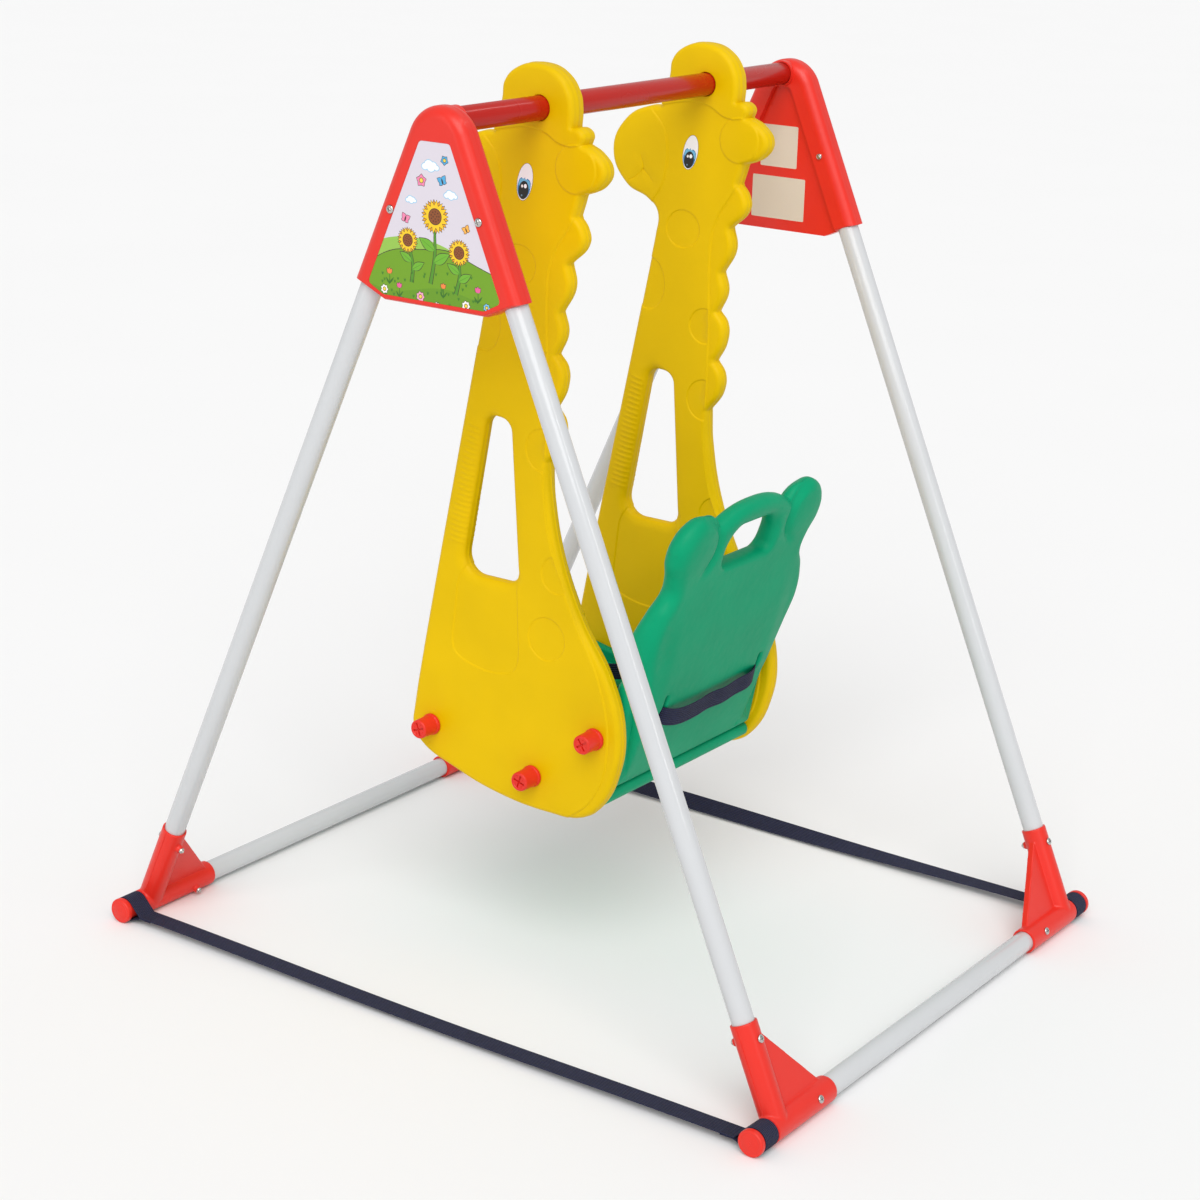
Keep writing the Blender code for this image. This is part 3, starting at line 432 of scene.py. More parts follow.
def way_along(path, number):
    """The direction of a path at one of its points."""
    return (path[min(number + 1, len(path) - 1)] - path[max(number - 1, 0)]).normalized()


def swung(x, y, u, v, turn):
    """The point (u, v) turned about the origin, then moved by (x, y)."""
    return (x + u * math.cos(turn) - v * math.sin(turn),
            y + u * math.sin(turn) + v * math.cos(turn))


def quarter(x, y, across, up, step):
    """A quarter round about (x, y), from its top outwards, in steps of degrees."""
    return [(x + across * math.sin(a), y + up * math.cos(a))
            for a in (math.radians(d) for d in range(0, 91, step))]


def even(line, spacing, closed=True):
    """The same polyline with extra points, so that no step is longer than spacing."""
    result = []
    ends = line[1:] + line[:1] if closed else line[1:]
    for (x0, y0), (x1, y1) in zip(line, ends):
        count = max(1, math.ceil(math.hypot(x1 - x0, y1 - y0) / spacing))
        result += [(x0 + (x1 - x0) * i / count, y0 + (y1 - y0) * i / count)
                   for i in range(count)]
    if not closed:
        result.append(line[-1])
    return result


def prism(name, loop, depth):
    """A plate with its mid-plane at local Z 0, extruded from one outline."""
    bpy.ops.mesh.primitive_circle_add(vertices=len(loop), fill_type="NGON")
    piece = named(bpy.context.object, name)
    for vert, (x, y) in zip(piece.data.vertices, loop):
        vert.co = (x, y, -depth / 2)
    edit(piece, "FACE", select="SELECT")
    bpy.ops.mesh.extrude_region_move(TRANSFORM_OT_translate={"value": (0, 0, depth)})
    leave_edit()
    return clean(piece)


# Moulded plates: a height over an outline, on both faces

def nearest(points, line, closed=True):
    """Distance from each point to a polyline, and where along it that is."""
    line = np.asarray(line, float)
    start = line if closed else line[:-1]
    end = np.roll(line, -1, axis=0) if closed else line[1:]
    along = end - start
    size = np.maximum((along ** 2).sum(1), 1e-18)
    best = np.empty(len(points))
    place = np.empty(len(points))
    for i in range(0, len(points), 2000):
        chunk = points[i:i + 2000, None, :] - start[None]
        share = np.clip((chunk * along).sum(2) / size, 0, 1)
        gap = ((chunk - share[..., None] * along) ** 2).sum(2)
        which = gap.argmin(1)
        rows = np.arange(len(which))
        best[i:i + 2000] = np.sqrt(gap[rows, which])
        place[i:i + 2000] = which + share[rows, which]
    return best, place


def inside(points, line):
    """Which points lie inside a closed polyline."""
    line = np.asarray(line, float)
    other = np.roll(line, -1, axis=0)
    result = np.zeros(len(points), bool)
    for (x0, y0), (x1, y1) in zip(line, other):
        if y0 == y1:
            continue
        crosses = (y0 > points[:, 1]) != (y1 > points[:, 1])
        at = x0 + (points[:, 1] - y0) * (x1 - x0) / (y1 - y0)
        result ^= crosses & (points[:, 0] < at)
    return result


def around(line):
    """The step past each point of a closed line."""
    return np.roll(line, -1, axis=0) - np.roll(line, 1, axis=0)


def left_of(step):
    """Unit normals to the left of steps."""
    normal = np.stack((-step[:, 1], step[:, 0]), 1)
    return normal / np.maximum(np.linalg.norm(normal, axis=1), 1e-12)[:, None]


class Rim:
    """One closed edge of a plate: its line, and the width and depth of its rounding."""

    def __init__(self, line, width, depth, hole=False):
        self.line = np.asarray(line, float)
        area = 0.5 * sum(x0 * y1 - x1 * y0 for (x0, y0), (x1, y1) in zip(
            self.line, np.roll(self.line, -1, axis=0)))
        if (area < 0) != hole:
            self.line = self.line[::-1]
        self.width = np.array([width(x, y) if callable(width) else width for x, y in self.line])
        self.depth = np.array([depth(x, y) if callable(depth) else depth for x, y in self.line])

    def inward(self):
        """Unit normals that point into the plate."""
        return left_of(around(self.line))

    def drop(self, points):
        """How far the rounding lowers the face at each point."""
        gap, place = nearest(points, self.line)
        low = place.astype(int) % len(self.line)
        high = (low + 1) % len(self.line)
        share = place - np.floor(place)
        width = self.width[low] * (1 - share) + self.width[high] * share
        depth = self.depth[low] * (1 - share) + self.depth[high] * share
        reach = np.clip(1 - gap / width, 0, 1)
        return depth * (1 - np.sqrt(np.maximum(1 - reach ** 2, 0)))


RING_STEPS = (0.02, 0.08, 0.18, 0.32, 0.50, 0.72, 1.0)


def plate_points(rims, features, grid, margin=0.0006):
    """Points for a plate's face: rims, rows beside them, features and a grid."""
    lines = [rim.line for rim in rims]
    fixed = np.concatenate(lines)
    loose = []
    for rim in rims:
        normal = rim.inward()
        for step in RING_STEPS:
            row = rim.line + normal * (rim.width * step)[:, None]
            gap = np.min([nearest(row, line)[0] for line in lines], axis=0)
            loose.append(row[gap > rim.width * step * 0.96])
    if len(features):
        loose.append(np.asarray(features, float))
    low, high = fixed.min(0), fixed.max(0)
    across = np.arange(low[0], high[0], grid)
    up = np.arange(low[1], high[1], grid * 0.87)
    mesh = [(x + (grid / 2 if j % 2 else 0), y) for j, y in enumerate(up) for x in across]
    taken = np.concatenate(loose)
    mesh = np.array(mesh)
    loose.append(mesh[far_from(mesh, taken, grid * 0.6)])
    loose = np.concatenate(loose)
    keep = inside(loose, lines[0])
    for line in lines[1:]:
        keep &= ~inside(loose, line)
    loose = loose[keep]
    gap = np.min([nearest(loose, line)[0] for line in lines], axis=0)
    return fixed, loose[gap > margin * 0.25]


def far_from(points, others, reach):
    """Which points have none of the others within reach, by a coarse grid of cells."""
    cells = {}
    for x, y in others:
        cells.setdefault((int(x // reach), int(y // reach)), []).append((x, y))
    keep = np.ones(len(points), bool)
    for number, (x, y) in enumerate(points):
        cx, cy = int(x // reach), int(y // reach)
        for i in (-1, 0, 1):
            for j in (-1, 0, 1):
                for ox, oy in cells.get((cx + i, cy + j), ()):
                    if (ox - x) ** 2 + (oy - y) ** 2 < reach ** 2:
                        keep[number] = False
    return keep


def plate(name, rims, half, relief, features=(), grid=0.010, seam=0.0):
    """A closed plate. half and relief give the heights of the faces +1 and -1.

    The plate lies in local X and Y, and half(points, face) is its signed height.
    """
    fixed, loose = plate_points(rims, features, grid)
    points = np.concatenate((fixed, loose))
    edges, first = [], 0
    for rim in rims:
        count = len(rim.line)
        edges += [(first + i, first + (i + 1) % count) for i in range(count)]
        first += count
    flat, _, faces, origins, _, _ = geometry.delaunay_2d_cdt(
        [Vector(p * CUT_SCALE) for p in points], edges, [], 0, 1e-4)
    place = np.array([tuple(v) for v in flat]) / CUT_SCALE
    faces = np.array(faces)
    middle = place[faces].mean(1)
    keep = inside(middle, rims[0].line)
    for rim in rims[1:]:
        keep &= ~inside(middle, rim.line)
    faces = faces[keep]
    number = {}
    for new, olds in enumerate(origins):
        for old in olds:
            number[old] = new
    drop = np.max([rim.drop(place) for rim in rims], axis=0)
    bm = bmesh.new()
    sheets = {}
    for face in (1, -1):
        height = half(place, face) - drop + relief(place, face)
        sheets[face] = [bm.verts.new((x, y, face * z)) for (x, y), z in zip(place, height)]
        for a, b, c in faces:
            corner = [sheets[face][i] for i in (a, b, c)]
            bm.faces.new(corner if face > 0 else corner[::-1])
    first = 0
    for rim in rims:
        count = len(rim.line)
        normal = rim.inward()
        rows = [[sheets[1][number[first + i]] for i in range(count)]]
        # No parting ridge in the bores, where the bar and the shafts run
        if seam and rim.width.max() > 0.002:
            for share, out in ((0.42, 0), (0.5, seam), (0.58, 0)):
                row = []
                for i in range(count):
                    top = rows[0][i].co
                    low = sheets[-1][number[first + i]].co
                    spot = top.lerp(low, share)
                    spot.x -= normal[i][0] * out
                    spot.y -= normal[i][1] * out
                    row.append(bm.verts.new(spot))
                rows.append(row)
        rows.append([sheets[-1][number[first + i]] for i in range(count)])
        for upper, lower in zip(rows, rows[1:]):
            for i in range(count):
                j = (i + 1) % count
                if len({upper[i], upper[j], lower[j], lower[i]}) == 4:
                    bm.faces.new((upper[j], upper[i], lower[i], lower[j]))
        first += count
    loose_verts = [vert for vert in bm.verts if not vert.link_faces]
    bmesh.ops.delete(bm, geom=loose_verts, context="VERTS")
    bmesh.ops.recalc_face_normals(bm, faces=bm.faces)
    return piece_of(name, bm)


def step_points(line, closed, offsets, spacing):
    """Rows of points on both sides of a line, to carry a step or a ridge."""
    line = np.asarray(even([tuple(p) for p in line], spacing, closed))
    normal = left_of(around(line) if closed else np.gradient(line, axis=0))
    return np.concatenate([line + normal * offset for offset in offsets])


def ease(value):
    value = np.clip(value, 0, 1)
    return value * value * (3 - 2 * value)


# Webbing

def smooth_path(points, steps):
    """Points on a smooth curve through the given ones."""
    result = []
    last = len(points) - 1
    for i in range(last):
        p0, p1, p2, p3 = (Vector(points[min(max(i + k, 0), last)]) for k in (-1, 0, 1, 2))
        for j in range(steps):
            t = j / steps
            result.append(0.5 * (2 * p1 + (p2 - p0) * t + (2 * p0 - 5 * p1 + 4 * p2 - p3) * t * t
                                 + (3 * p1 - p0 - 3 * p2 + p3) * t ** 3))
    result.append(Vector(points[-1]))
    return result


# Half section of webbing: across from -1 to 1, thickness from -1 to 1
WEB_ROWS = ((-1.0, 0.0), (-0.985, 0.7), (-0.95, 1.0), (-0.80, 0.94), (-0.4, 0.97), (0.0, 0.94),
            (0.4, 0.97), (0.80, 0.94), (0.95, 1.0), (0.985, 0.7), (1.0, 0.0))


def ribbon(name, path, ups, width, thickness):
    """A woven band along a path. ups gives the way across its width at each point."""
    section = [*WEB_ROWS, *[(a, -t) for a, t in reversed(WEB_ROWS[1:-1])]]
    count = len(section)
    bm = bmesh.new()
    weave = bm.loops.layers.uv.new("weave")
    rings, travel = [], [0.0]
    for number, place in enumerate(path):
        along = way_along(path, number)
        up = ups[number]
        up = (up - along * up.dot(along)).normalized()
        out = along.cross(up).normalized()
        rings.append([bm.verts.new(place + up * (a * width / 2) + out * (t * thickness / 2))
                      for a, t in section])
        if number:
            travel.append(travel[-1] + (place - path[number - 1]).length)
    for number, (first, second) in enumerate(zip(rings, rings[1:])):
        for i in range(count):
            j = (i + 1) % count
            face = bm.faces.new((first[i], first[j], second[j], second[i]))
            far = section[j][0] * width / 2
            near = section[i][0] * width / 2
            for loop, spot in zip(face.loops, ((near, number), (far, number),
                                               (far, number + 1), (near, number + 1))):
                loop[weave].uv = (spot[0], travel[spot[1]])
    for ring in (rings[0], rings[-1]):
        face = bm.faces.new(ring)
        for loop in face.loops:
            loop[weave].uv = (0, 0)
    bmesh.ops.recalc_face_normals(bm, faces=bm.faces)
    return smooth(piece_of(name, bm), 60)


def stitches(name, places, size=0.0022, width=0.0007, height=0.0005):
    """Short raised threads. Each place is (middle, along, up)."""
    bm = bmesh.new()
    for middle, along, up in places:
        middle, along, up = Vector(middle), Vector(along).normalized(), Vector(up).normalized()
        across = along.cross(up).normalized()
        rows = []
        for share, swell in ((-0.5, 0.35), (-0.25, 1.0), (0.25, 1.0), (0.5, 0.35)):
            spot = middle + along * (size * share)
            rows.append([bm.verts.new(spot + across * (a * width / 2 * swell)
                                      + up * (h * height * swell - height * 0.2))
                         for a, h in ((-1, 0), (-0.6, 0.8), (0.6, 0.8), (1, 0), (0, -0.4))])
        for first, second in zip(rows, rows[1:]):
            for i in range(5):
                j = (i + 1) % 5
                bm.faces.new((first[i], first[j], second[j], second[i]))
        bm.faces.new(rows[0])
        bm.faces.new(rows[-1])
    bmesh.ops.recalc_face_normals(bm, faces=bm.faces)
    return smooth(piece_of(name, bm), 80)


# Materials

def add_node(tree, kind, inputs=None, links=None, **settings):
    """Add a node with its settings, its values and its links."""
    node = tree.nodes.new("ShaderNode" + kind)
    for key, value in settings.items():
        setattr(node, key, value)
    for key, value in (inputs or {}).items():
        node.inputs[key].default_value = value
    return wire(node, links or {})


def wire(node, links):
    """Link sockets to a node's inputs."""
    for key, socket in links.items():
        node.id_data.links.new(socket, node.inputs[key])
    return node


def new_material(name, **sockets):
    """A material's nodes, its shader with its constants set, and a place on the piece."""
    material = bpy.data.materials.new(name)
    material.use_nodes = True
    tree = material.node_tree
    shader = tree.nodes["Principled BSDF"]
    for key, value in sockets.items():
        shader.inputs[key.replace("_", " ")].default_value = value
    return tree, shader, {"Vector": add_node(tree, "TexCoord").outputs["Object"]}


def shade(rgb, factor):
    """A lighter or darker tone of a colour, with alpha."""
    return (*(min(c * factor, 1.0) for c in rgb), 1.0)


# Sockets of a Mix node that mixes colours
MIX_A, MIX_B, MIX_OUT = 6, 7, 2


def moulded_plastic(name, rgb, roughness, grain, peel, deep, shine):
    """Moulded polyolefin. grain and peel are bump heights in metres."""
    # An even colour that clouds a little, a fine leathery grain from the mould and
    # a soft wide highlight
    tree, shader, where = new_material(name, IOR=1.50, Specular_IOR_Level=shine)
    cloud = add_node(tree, "TexNoise", {"Scale": 9.0, "Detail": 2.0}, where)
    share = add_node(tree, "MapRange", {"From Min": 0.3, "From Max": 0.7},
                     {"Value": cloud.outputs[0]})
    paint = add_node(tree, "Mix", {MIX_A: shade(rgb, 1), MIX_B: shade(rgb, deep)},
                     {0: share.outputs[0]}, data_type="RGBA")
    # The mould's grain is about 0.5 mm and is drawn at 1.2 mm so that it shows
    fine = add_node(tree, "TexNoise", {"Scale": 830.0, "Detail": 3.0}, where)
    wide = add_node(tree, "TexNoise", {"Scale": 75.0, "Detail": 1.0}, where)
    gloss = add_node(tree, "MapRange",
                     {"To Min": roughness - 0.05, "To Max": roughness + 0.06},
                     {"Value": wide.outputs[0]})
    low = add_node(tree, "Bump", {"Distance": peel}, {"Height": wide.outputs[0]})
    bump = add_node(tree, "Bump", {"Distance": grain},
                    {"Height": fine.outputs[0], "Normal": low.outputs[0]})
    wire(shader, {"Base Color": paint.outputs[MIX_OUT], "Roughness": gloss.outputs[0],
                  "Normal": bump.outputs[0]})


def powder_coat(name, rgb, roughness, coat):
    """Powder coat or enamel on steel tube."""
    # A glossy skin with a faint orange peel 2 mm wide, so highlights run along the
    # tube with slightly soft edges
    tree, shader, where = new_material(name, IOR=1.5, Specular_IOR_Level=0.20,
                                          Coat_Weight=coat, Coat_Roughness=0.10)
    peel = add_node(tree, "TexNoise", {"Scale": 480.0, "Detail": 1.0}, where)
    cloud = add_node(tree, "TexNoise", {"Scale": 14.0, "Detail": 2.0}, where)
    paint = add_node(tree, "Mix", {MIX_A: shade(rgb, 1), MIX_B: shade(rgb, 0.95)},
                     {0: cloud.outputs[0]}, data_type="RGBA")
    gloss = add_node(tree, "MapRange",
                     {"To Min": roughness - 0.04, "To Max": roughness + 0.05},
                     {"Value": cloud.outputs[0]})
    skin = add_node(tree, "Bump", {"Distance": 0.00002}, {"Height": peel.outputs[0]})
    wire(shader, {"Base Color": paint.outputs[MIX_OUT], "Roughness": gloss.outputs[0],
                  "Normal": skin.outputs[0]})


def woven_webbing(name, rgb, pitch):
    """Woven polypropylene. pitch is the spacing of its lengthwise ribs in metres."""
    # Matt, with ribs along the band, picks across them and yarn of slightly varying tone. The
    # ribs and picks are painted darker in their hollows and lighter on their crests, as painted
    # shade and painted highlight
    tree, shader, where = new_material(name, Roughness=0.78, IOR=1.49,
                                          Specular_IOR_Level=0.20, Sheen_Weight=0.04)
    along = {"Vector": add_node(tree, "UVMap", uv_map="weave").outputs["UV"]}
    # A wave texture's period is 2 pi / 20 at scale 1
    turns = 2 * math.pi / 20
    ribs = add_node(tree, "TexWave", {"Scale": turns / pitch}, along)
    picks = add_node(tree, "TexWave", {"Scale": turns / (pitch * 0.8)}, along,
                     bands_direction="Y")
    half = add_node(tree, "Math", {1: 0.45}, {0: picks.outputs["Fac"]}, operation="MULTIPLY")
    level = add_node(tree, "Math", None,
                     {0: ribs.outputs["Fac"], 1: half.outputs[0]}, operation="ADD")
    yarn = add_node(tree, "TexNoise", {"Scale": 120.0, "Detail": 3.0}, where)
    rib_shade_and_yarn = add_node(tree, "Math", None,
                      {0: level.outputs[0], 1: yarn.outputs[0]}, operation="ADD")
    share = add_node(tree, "MapRange", {"From Min": 0.4, "From Max": 1.9},
                     {"Value": rib_shade_and_yarn.outputs[0]})
    # Painted shade and painted highlight: the colour runs from dark to light with the ribs'
    # height, plus the yarn's own varying tone
    paint = add_node(tree, "Mix",
                     {MIX_A: shade(rgb, 0.38), MIX_B: shade(rgb, 1.45)},
                     {0: share.outputs[0]}, data_type="RGBA")
    bump = add_node(tree, "Bump", {"Distance": 0.0012}, {"Height": level.outputs[0]})
    wire(shader, {"Base Color": paint.outputs[MIX_OUT], "Normal": bump.outputs[0]})


def plated_zinc(name, rgb):
    """Zinc-plated steel."""
    # Bright and slightly clouded, with fine marks from tumbling
    tree, shader, where = new_material(name, Metallic=1.0)
    cloud = add_node(tree, "TexNoise", {"Scale": 600.0, "Detail": 4.0}, where)
    paint = add_node(tree, "Mix", {MIX_A: shade(rgb, 1), MIX_B: shade(rgb, 0.7)},
                     {0: cloud.outputs[0]}, data_type="RGBA")
    gloss = add_node(tree, "MapRange", {"To Min": 0.12, "To Max": 0.30},
                     {"Value": cloud.outputs[0]})
    marks = add_node(tree, "Bump", {"Distance": 0.00003}, {"Height": cloud.outputs[0]})
    wire(shader, {"Base Color": paint.outputs[MIX_OUT], "Roughness": gloss.outputs[0],
                  "Normal": marks.outputs[0]})


def printed_film(name, roughness):
    """Printed polypropylene film, whose inks are in the face attribute ink."""
    # Flat inks under a thin varnish, with the faint ripple of film on a moulding
    tree, shader, where = new_material(name, IOR=1.5, Specular_IOR_Level=0.35,
                                          Coat_Weight=0.15, Coat_Roughness=0.12)
    ink = add_node(tree, "Attribute", attribute_name="ink")
    grain = add_node(tree, "TexNoise", {"Scale": 1500.0, "Detail": 2.0}, where)
    ripple = add_node(tree, "TexNoise", {"Scale": 60.0, "Detail": 1.0}, where)
    tone = add_node(tree, "MapRange", {"To Min": 0.93, "To Max": 1.0},
                    {"Value": grain.outputs[0]})
    paint = add_node(tree, "Mix", {0: 1.0},
                     {MIX_A: ink.outputs["Color"], MIX_B: tone.outputs[0]},
                     data_type="RGBA", blend_type="MULTIPLY")
    gloss = add_node(tree, "MapRange",
                     {"To Min": roughness - 0.05, "To Max": roughness + 0.05},
                     {"Value": ripple.outputs[0]})
    wavy = add_node(tree, "Bump", {"Distance": 0.0001}, {"Height": ripple.outputs[0]})
    wire(shader, {"Base Color": paint.outputs[MIX_OUT], "Roughness": gloss.outputs[0],
                  "Normal": wavy.outputs[0]})


def matt_floor(name, rgb):
    """Painted studio floor."""
    # Matt and almost even, with a trace of cloud from the roller
    tree, shader, where = new_material(name, Roughness=0.9, Specular_IOR_Level=0.1)
    cloud = add_node(tree, "TexNoise", {"Scale": 1.5, "Detail": 2.0}, where)
    paint = add_node(tree, "Mix", {MIX_A: shade(rgb, 1), MIX_B: shade(rgb, 0.985)},
                     {0: cloud.outputs[0]}, data_type="RGBA")
    wire(shader, {"Base Color": paint.outputs[MIX_OUT]})


# Each finish's maker, slot in the frame, material name, colour and own values
FINISHES = {
    "polyethylene_yellow": (moulded_plastic, "yellow_plastic", "blow_moulded_polyethylene_yellow",
                            "panel", 0.42, 0.00004, 0.00035, 0.93, 0.09),
    "polyethylene_green": (moulded_plastic, "green_plastic", "blow_moulded_polyethylene_green",
                           "seat", 0.45, 0.00005, 0.00035, 0.88, 0.12),
    "polypropylene_red": (moulded_plastic, "red_plastic", "moulded_polypropylene_red",
                          "moulding", 0.33, 0.00003, 0.00016, 0.93, 0.34),
    "acetal_black": (moulded_plastic, "black_plastic", "moulded_acetal_black",
                     "buckle", 0.38, 0.00004, 0.0001, 0.8, 0.5),
    "powder_white": (powder_coat, "white_enamel", "powder_coated_steel_white",
                     "tube", 0.24, 0.6),
    "enamel_red": (powder_coat, "red_enamel", "enamelled_steel_red", "bar", 0.26, 0.25),
    "webbing": (woven_webbing, "navy_webbing", "woven_polypropylene_webbing",
                "webbing", 0.0031),
    "zinc": (plated_zinc, "zinc_steel", "zinc_plated_steel", "zinc"),
    "film": (printed_film, "printed_card", "printed_varnished_film", None, 0.34),
    "label": (printed_film, "printed_card", "blank_label_film", None, 0.5),
    "floor": (matt_floor, None, "matt_painted_floor", "floor"),
}


def finish(kind):
    """The material of a finish, made when it is first asked for."""
    maker, _, name, paint, *values = FINISHES[kind]
    if name not in bpy.data.materials:
        if paint:
            values = [getattr(colours(), paint), *values]
        maker(name, *values)
    return bpy.data.materials[name]


def settle(piece, body, kind, *nodes):
    """Give a finished piece its material and body, and hide the frame's nodes that it stands for.
    """
    piece.data.materials.clear()
    piece.data.materials.append(finish(kind))
    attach(piece, body)
    if nodes:
        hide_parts(*nodes)


# Stage

CAMERA_PLACE = Vector((2.90083, 1.99823, 1.62002))
CAMERA_YAW = math.radians(235.0547)
CAMERA_PITCH = math.radians(17.7474)
CAMERA_ROLL = math.radians(1.6939)
CAMERA_LENS = 2601.08 * 36 / 1200


# Each strip's place, target, size in metres and power in watts
STRIPS = (("strip_right", (0.9, 3.4, 1.9), (0, 0, 0.7), (0.30, 2.4), 18),
          ("strip_left", (3.6, -1.6, 1.9), (0, 0, 0.7), (0.30, 2.4), 12),
          ("strip_top", (0, 0.9, 3.0), (0, 0, 1.0), (3.0, 0.25), 12))
SUN_POWER = 2.0
SKY_STRENGTH = 0.65
BACKDROP_STRENGTH = 0.94
WHITE = (1.0, 1.0, 1.0, 1.0)


def area_light(name, place, target, size, power):
    bpy.ops.object.light_add(type="AREA", location=place)
    lamp = bpy.context.object
    lamp.name = name
    lamp.data.shape = "RECTANGLE"
    lamp.data.size, lamp.data.size_y = size
    lamp.data.energy = power
    lamp.rotation_mode = "QUATERNION"
    lamp.rotation_quaternion = (Vector(target) - Vector(place)).to_track_quat("-Z", "Y")
    # Seen only in highlights, so the floor stays evenly lit
    lamp.visible_diffuse = False


class SWING_OT_stage(bpy.types.Operator):
    """Make the camera, the lights and the pale floor"""

    bl_idname = "swing.stage"
    bl_label = "Stage"

    def execute(self, context):
        forward = Vector((math.sin(CAMERA_YAW) * math.cos(CAMERA_PITCH),
                          math.cos(CAMERA_YAW) * math.cos(CAMERA_PITCH),
                          -math.sin(CAMERA_PITCH)))
        level = forward.cross(Vector((0, 0, 1))).normalized()
        upward = level.cross(forward)
        right = level * math.cos(CAMERA_ROLL) + upward * math.sin(CAMERA_ROLL)
        up = upward * math.cos(CAMERA_ROLL) - level * math.sin(CAMERA_ROLL)
        bpy.ops.object.camera_add(location=CAMERA_PLACE)
        camera = context.object
        camera.name = "camera"
        turn = Matrix((right, up, -forward)).transposed().to_4x4()
        camera.matrix_world = Matrix.Translation(CAMERA_PLACE) @ turn
        camera.data.lens = CAMERA_LENS
        camera.data.sensor_width = 36.0
        camera.data.clip_end = 200.0
        context.scene.camera = camera

        context.scene.view_settings.view_transform = "Standard"
        world = bpy.data.worlds.new("studio")
        context.scene.world = world
        world.use_nodes = True
        # Even grey light from all round, with a backdrop as pale as the floor
        tree = world.node_tree
        sky = tree.nodes["Background"]
        sky.inputs["Color"].default_value = WHITE
        sky.inputs["Strength"].default_value = SKY_STRENGTH
        backdrop = add_node(tree, "Background", {"Color": WHITE, "Strength": BACKDROP_STRENGTH})
        seen = add_node(tree, "MixShader", None,
                        {0: add_node(tree, "LightPath").outputs["Is Camera Ray"],
                         1: sky.outputs[0], 2: backdrop.outputs[0]})
        tree.links.new(seen.outputs[0], tree.nodes["World Output"].inputs["Surface"])

        # The wide key lights the whole floor evenly, and the strips draw highlights
        bpy.ops.object.light_add(type="SUN", location=(3, 2, 4))
        key = context.object
        key.name = "key_through_a_large_diffuser"
        key.data.energy = SUN_POWER
        key.data.angle = math.radians(46)
        key.rotation_mode = "QUATERNION"
        key.rotation_quaternion = Vector((-0.62, -0.40, -0.68)).to_track_quat("-Z", "Y")
        for strip in STRIPS:
            area_light(*strip)

        bpy.ops.mesh.primitive_plane_add(size=240.0, location=(0, 0, -0.0002))
        floor = named(context.object, "studio_floor")
        fix_place(floor)
        edit(floor, select="SELECT")
        bpy.ops.mesh.subdivide(number_cuts=15)
        leave_edit()
        floor.data.materials.append(finish("floor"))
        return {"FINISHED"}


# Stand

def steel_tube(name, start, end, radius, wall):
    """Tube drawn from a ring, with its wall and softened ends."""
    piece = rod(name, start, end, radius, 64, caps=False)
    modify(piece, "SOLIDIFY", thickness=wall, offset=-1.0)
    modify(piece, "BEVEL", width=wall * 0.25, segments=2, limit_method="ANGLE",
           angle_limit=math.radians(50))
    return smooth(piece, 40)


class SWING_OT_tubes(bpy.types.Operator):
    """Make the top bar, the legs and the base tubes"""

    bl_idname = "swing.tubes"
    bl_label = "Steel tubes"

    def execute(self, context):
        size = sizes()
        reach = FRAME_HALF_X + BAR_END_REACH
        bar = steel_tube("top_bar_tube", (-reach, 0, BAR_Z), (reach, 0, BAR_Z),
                         size.bar_radius, size.tube_wall)
        settle(bar, STAND, "enamel_red", "top_bar")
        low = size.tube_radius + STUB_WALL + GAP * 4
        high = leg_reach(BAR_Z - LEG_TOP_UNDER_BAR)
        for corner, (side_x, side_y) in CORNERS.items():
            leg = steel_tube("leg_tube_" + corner, leg_point(side_x, side_y, low),
                             leg_point(side_x, side_y, high), size.tube_radius,
                             size.tube_wall)
            settle(leg, STAND, "powder_white", "leg_" + corner)
        for end, side_y in ENDS.items():
            start = (-STUB_END_X, side_y * FOOT_HALF_Y, BASE_AXIS_Z)
            stop = (STUB_END_X, side_y * FOOT_HALF_Y, BASE_AXIS_Z)
            tube = steel_tube("floor_tube_" + end, start, stop, size.tube_radius,
                              size.tube_wall)
            settle(tube, STAND, "powder_white", "base_tube_" + end)
        return {"FINISHED"}


def web_prism(side_x, side_y, thickness):
    """The flat triangle between a joint's two sockets."""
    loop = [(0, 0), (WEB_BASE_REACH, 0), (WEB_BASE_REACH, 0.0095),
            (0.0095, WEB_LEG_REACH), (0, WEB_LEG_REACH)]
    piece = prism("web", loop, thickness)
    across = Vector((-side_x, 0, 0))
    up = Vector((0, -side_y * LEG_SIN, LEG_COS))
    turn = Matrix((across, up, across.cross(up))).transposed().to_4x4()
    piece.data.transform(Matrix.Translation(leg_point(side_x, side_y, 0)) @ turn)
    return clean(piece)


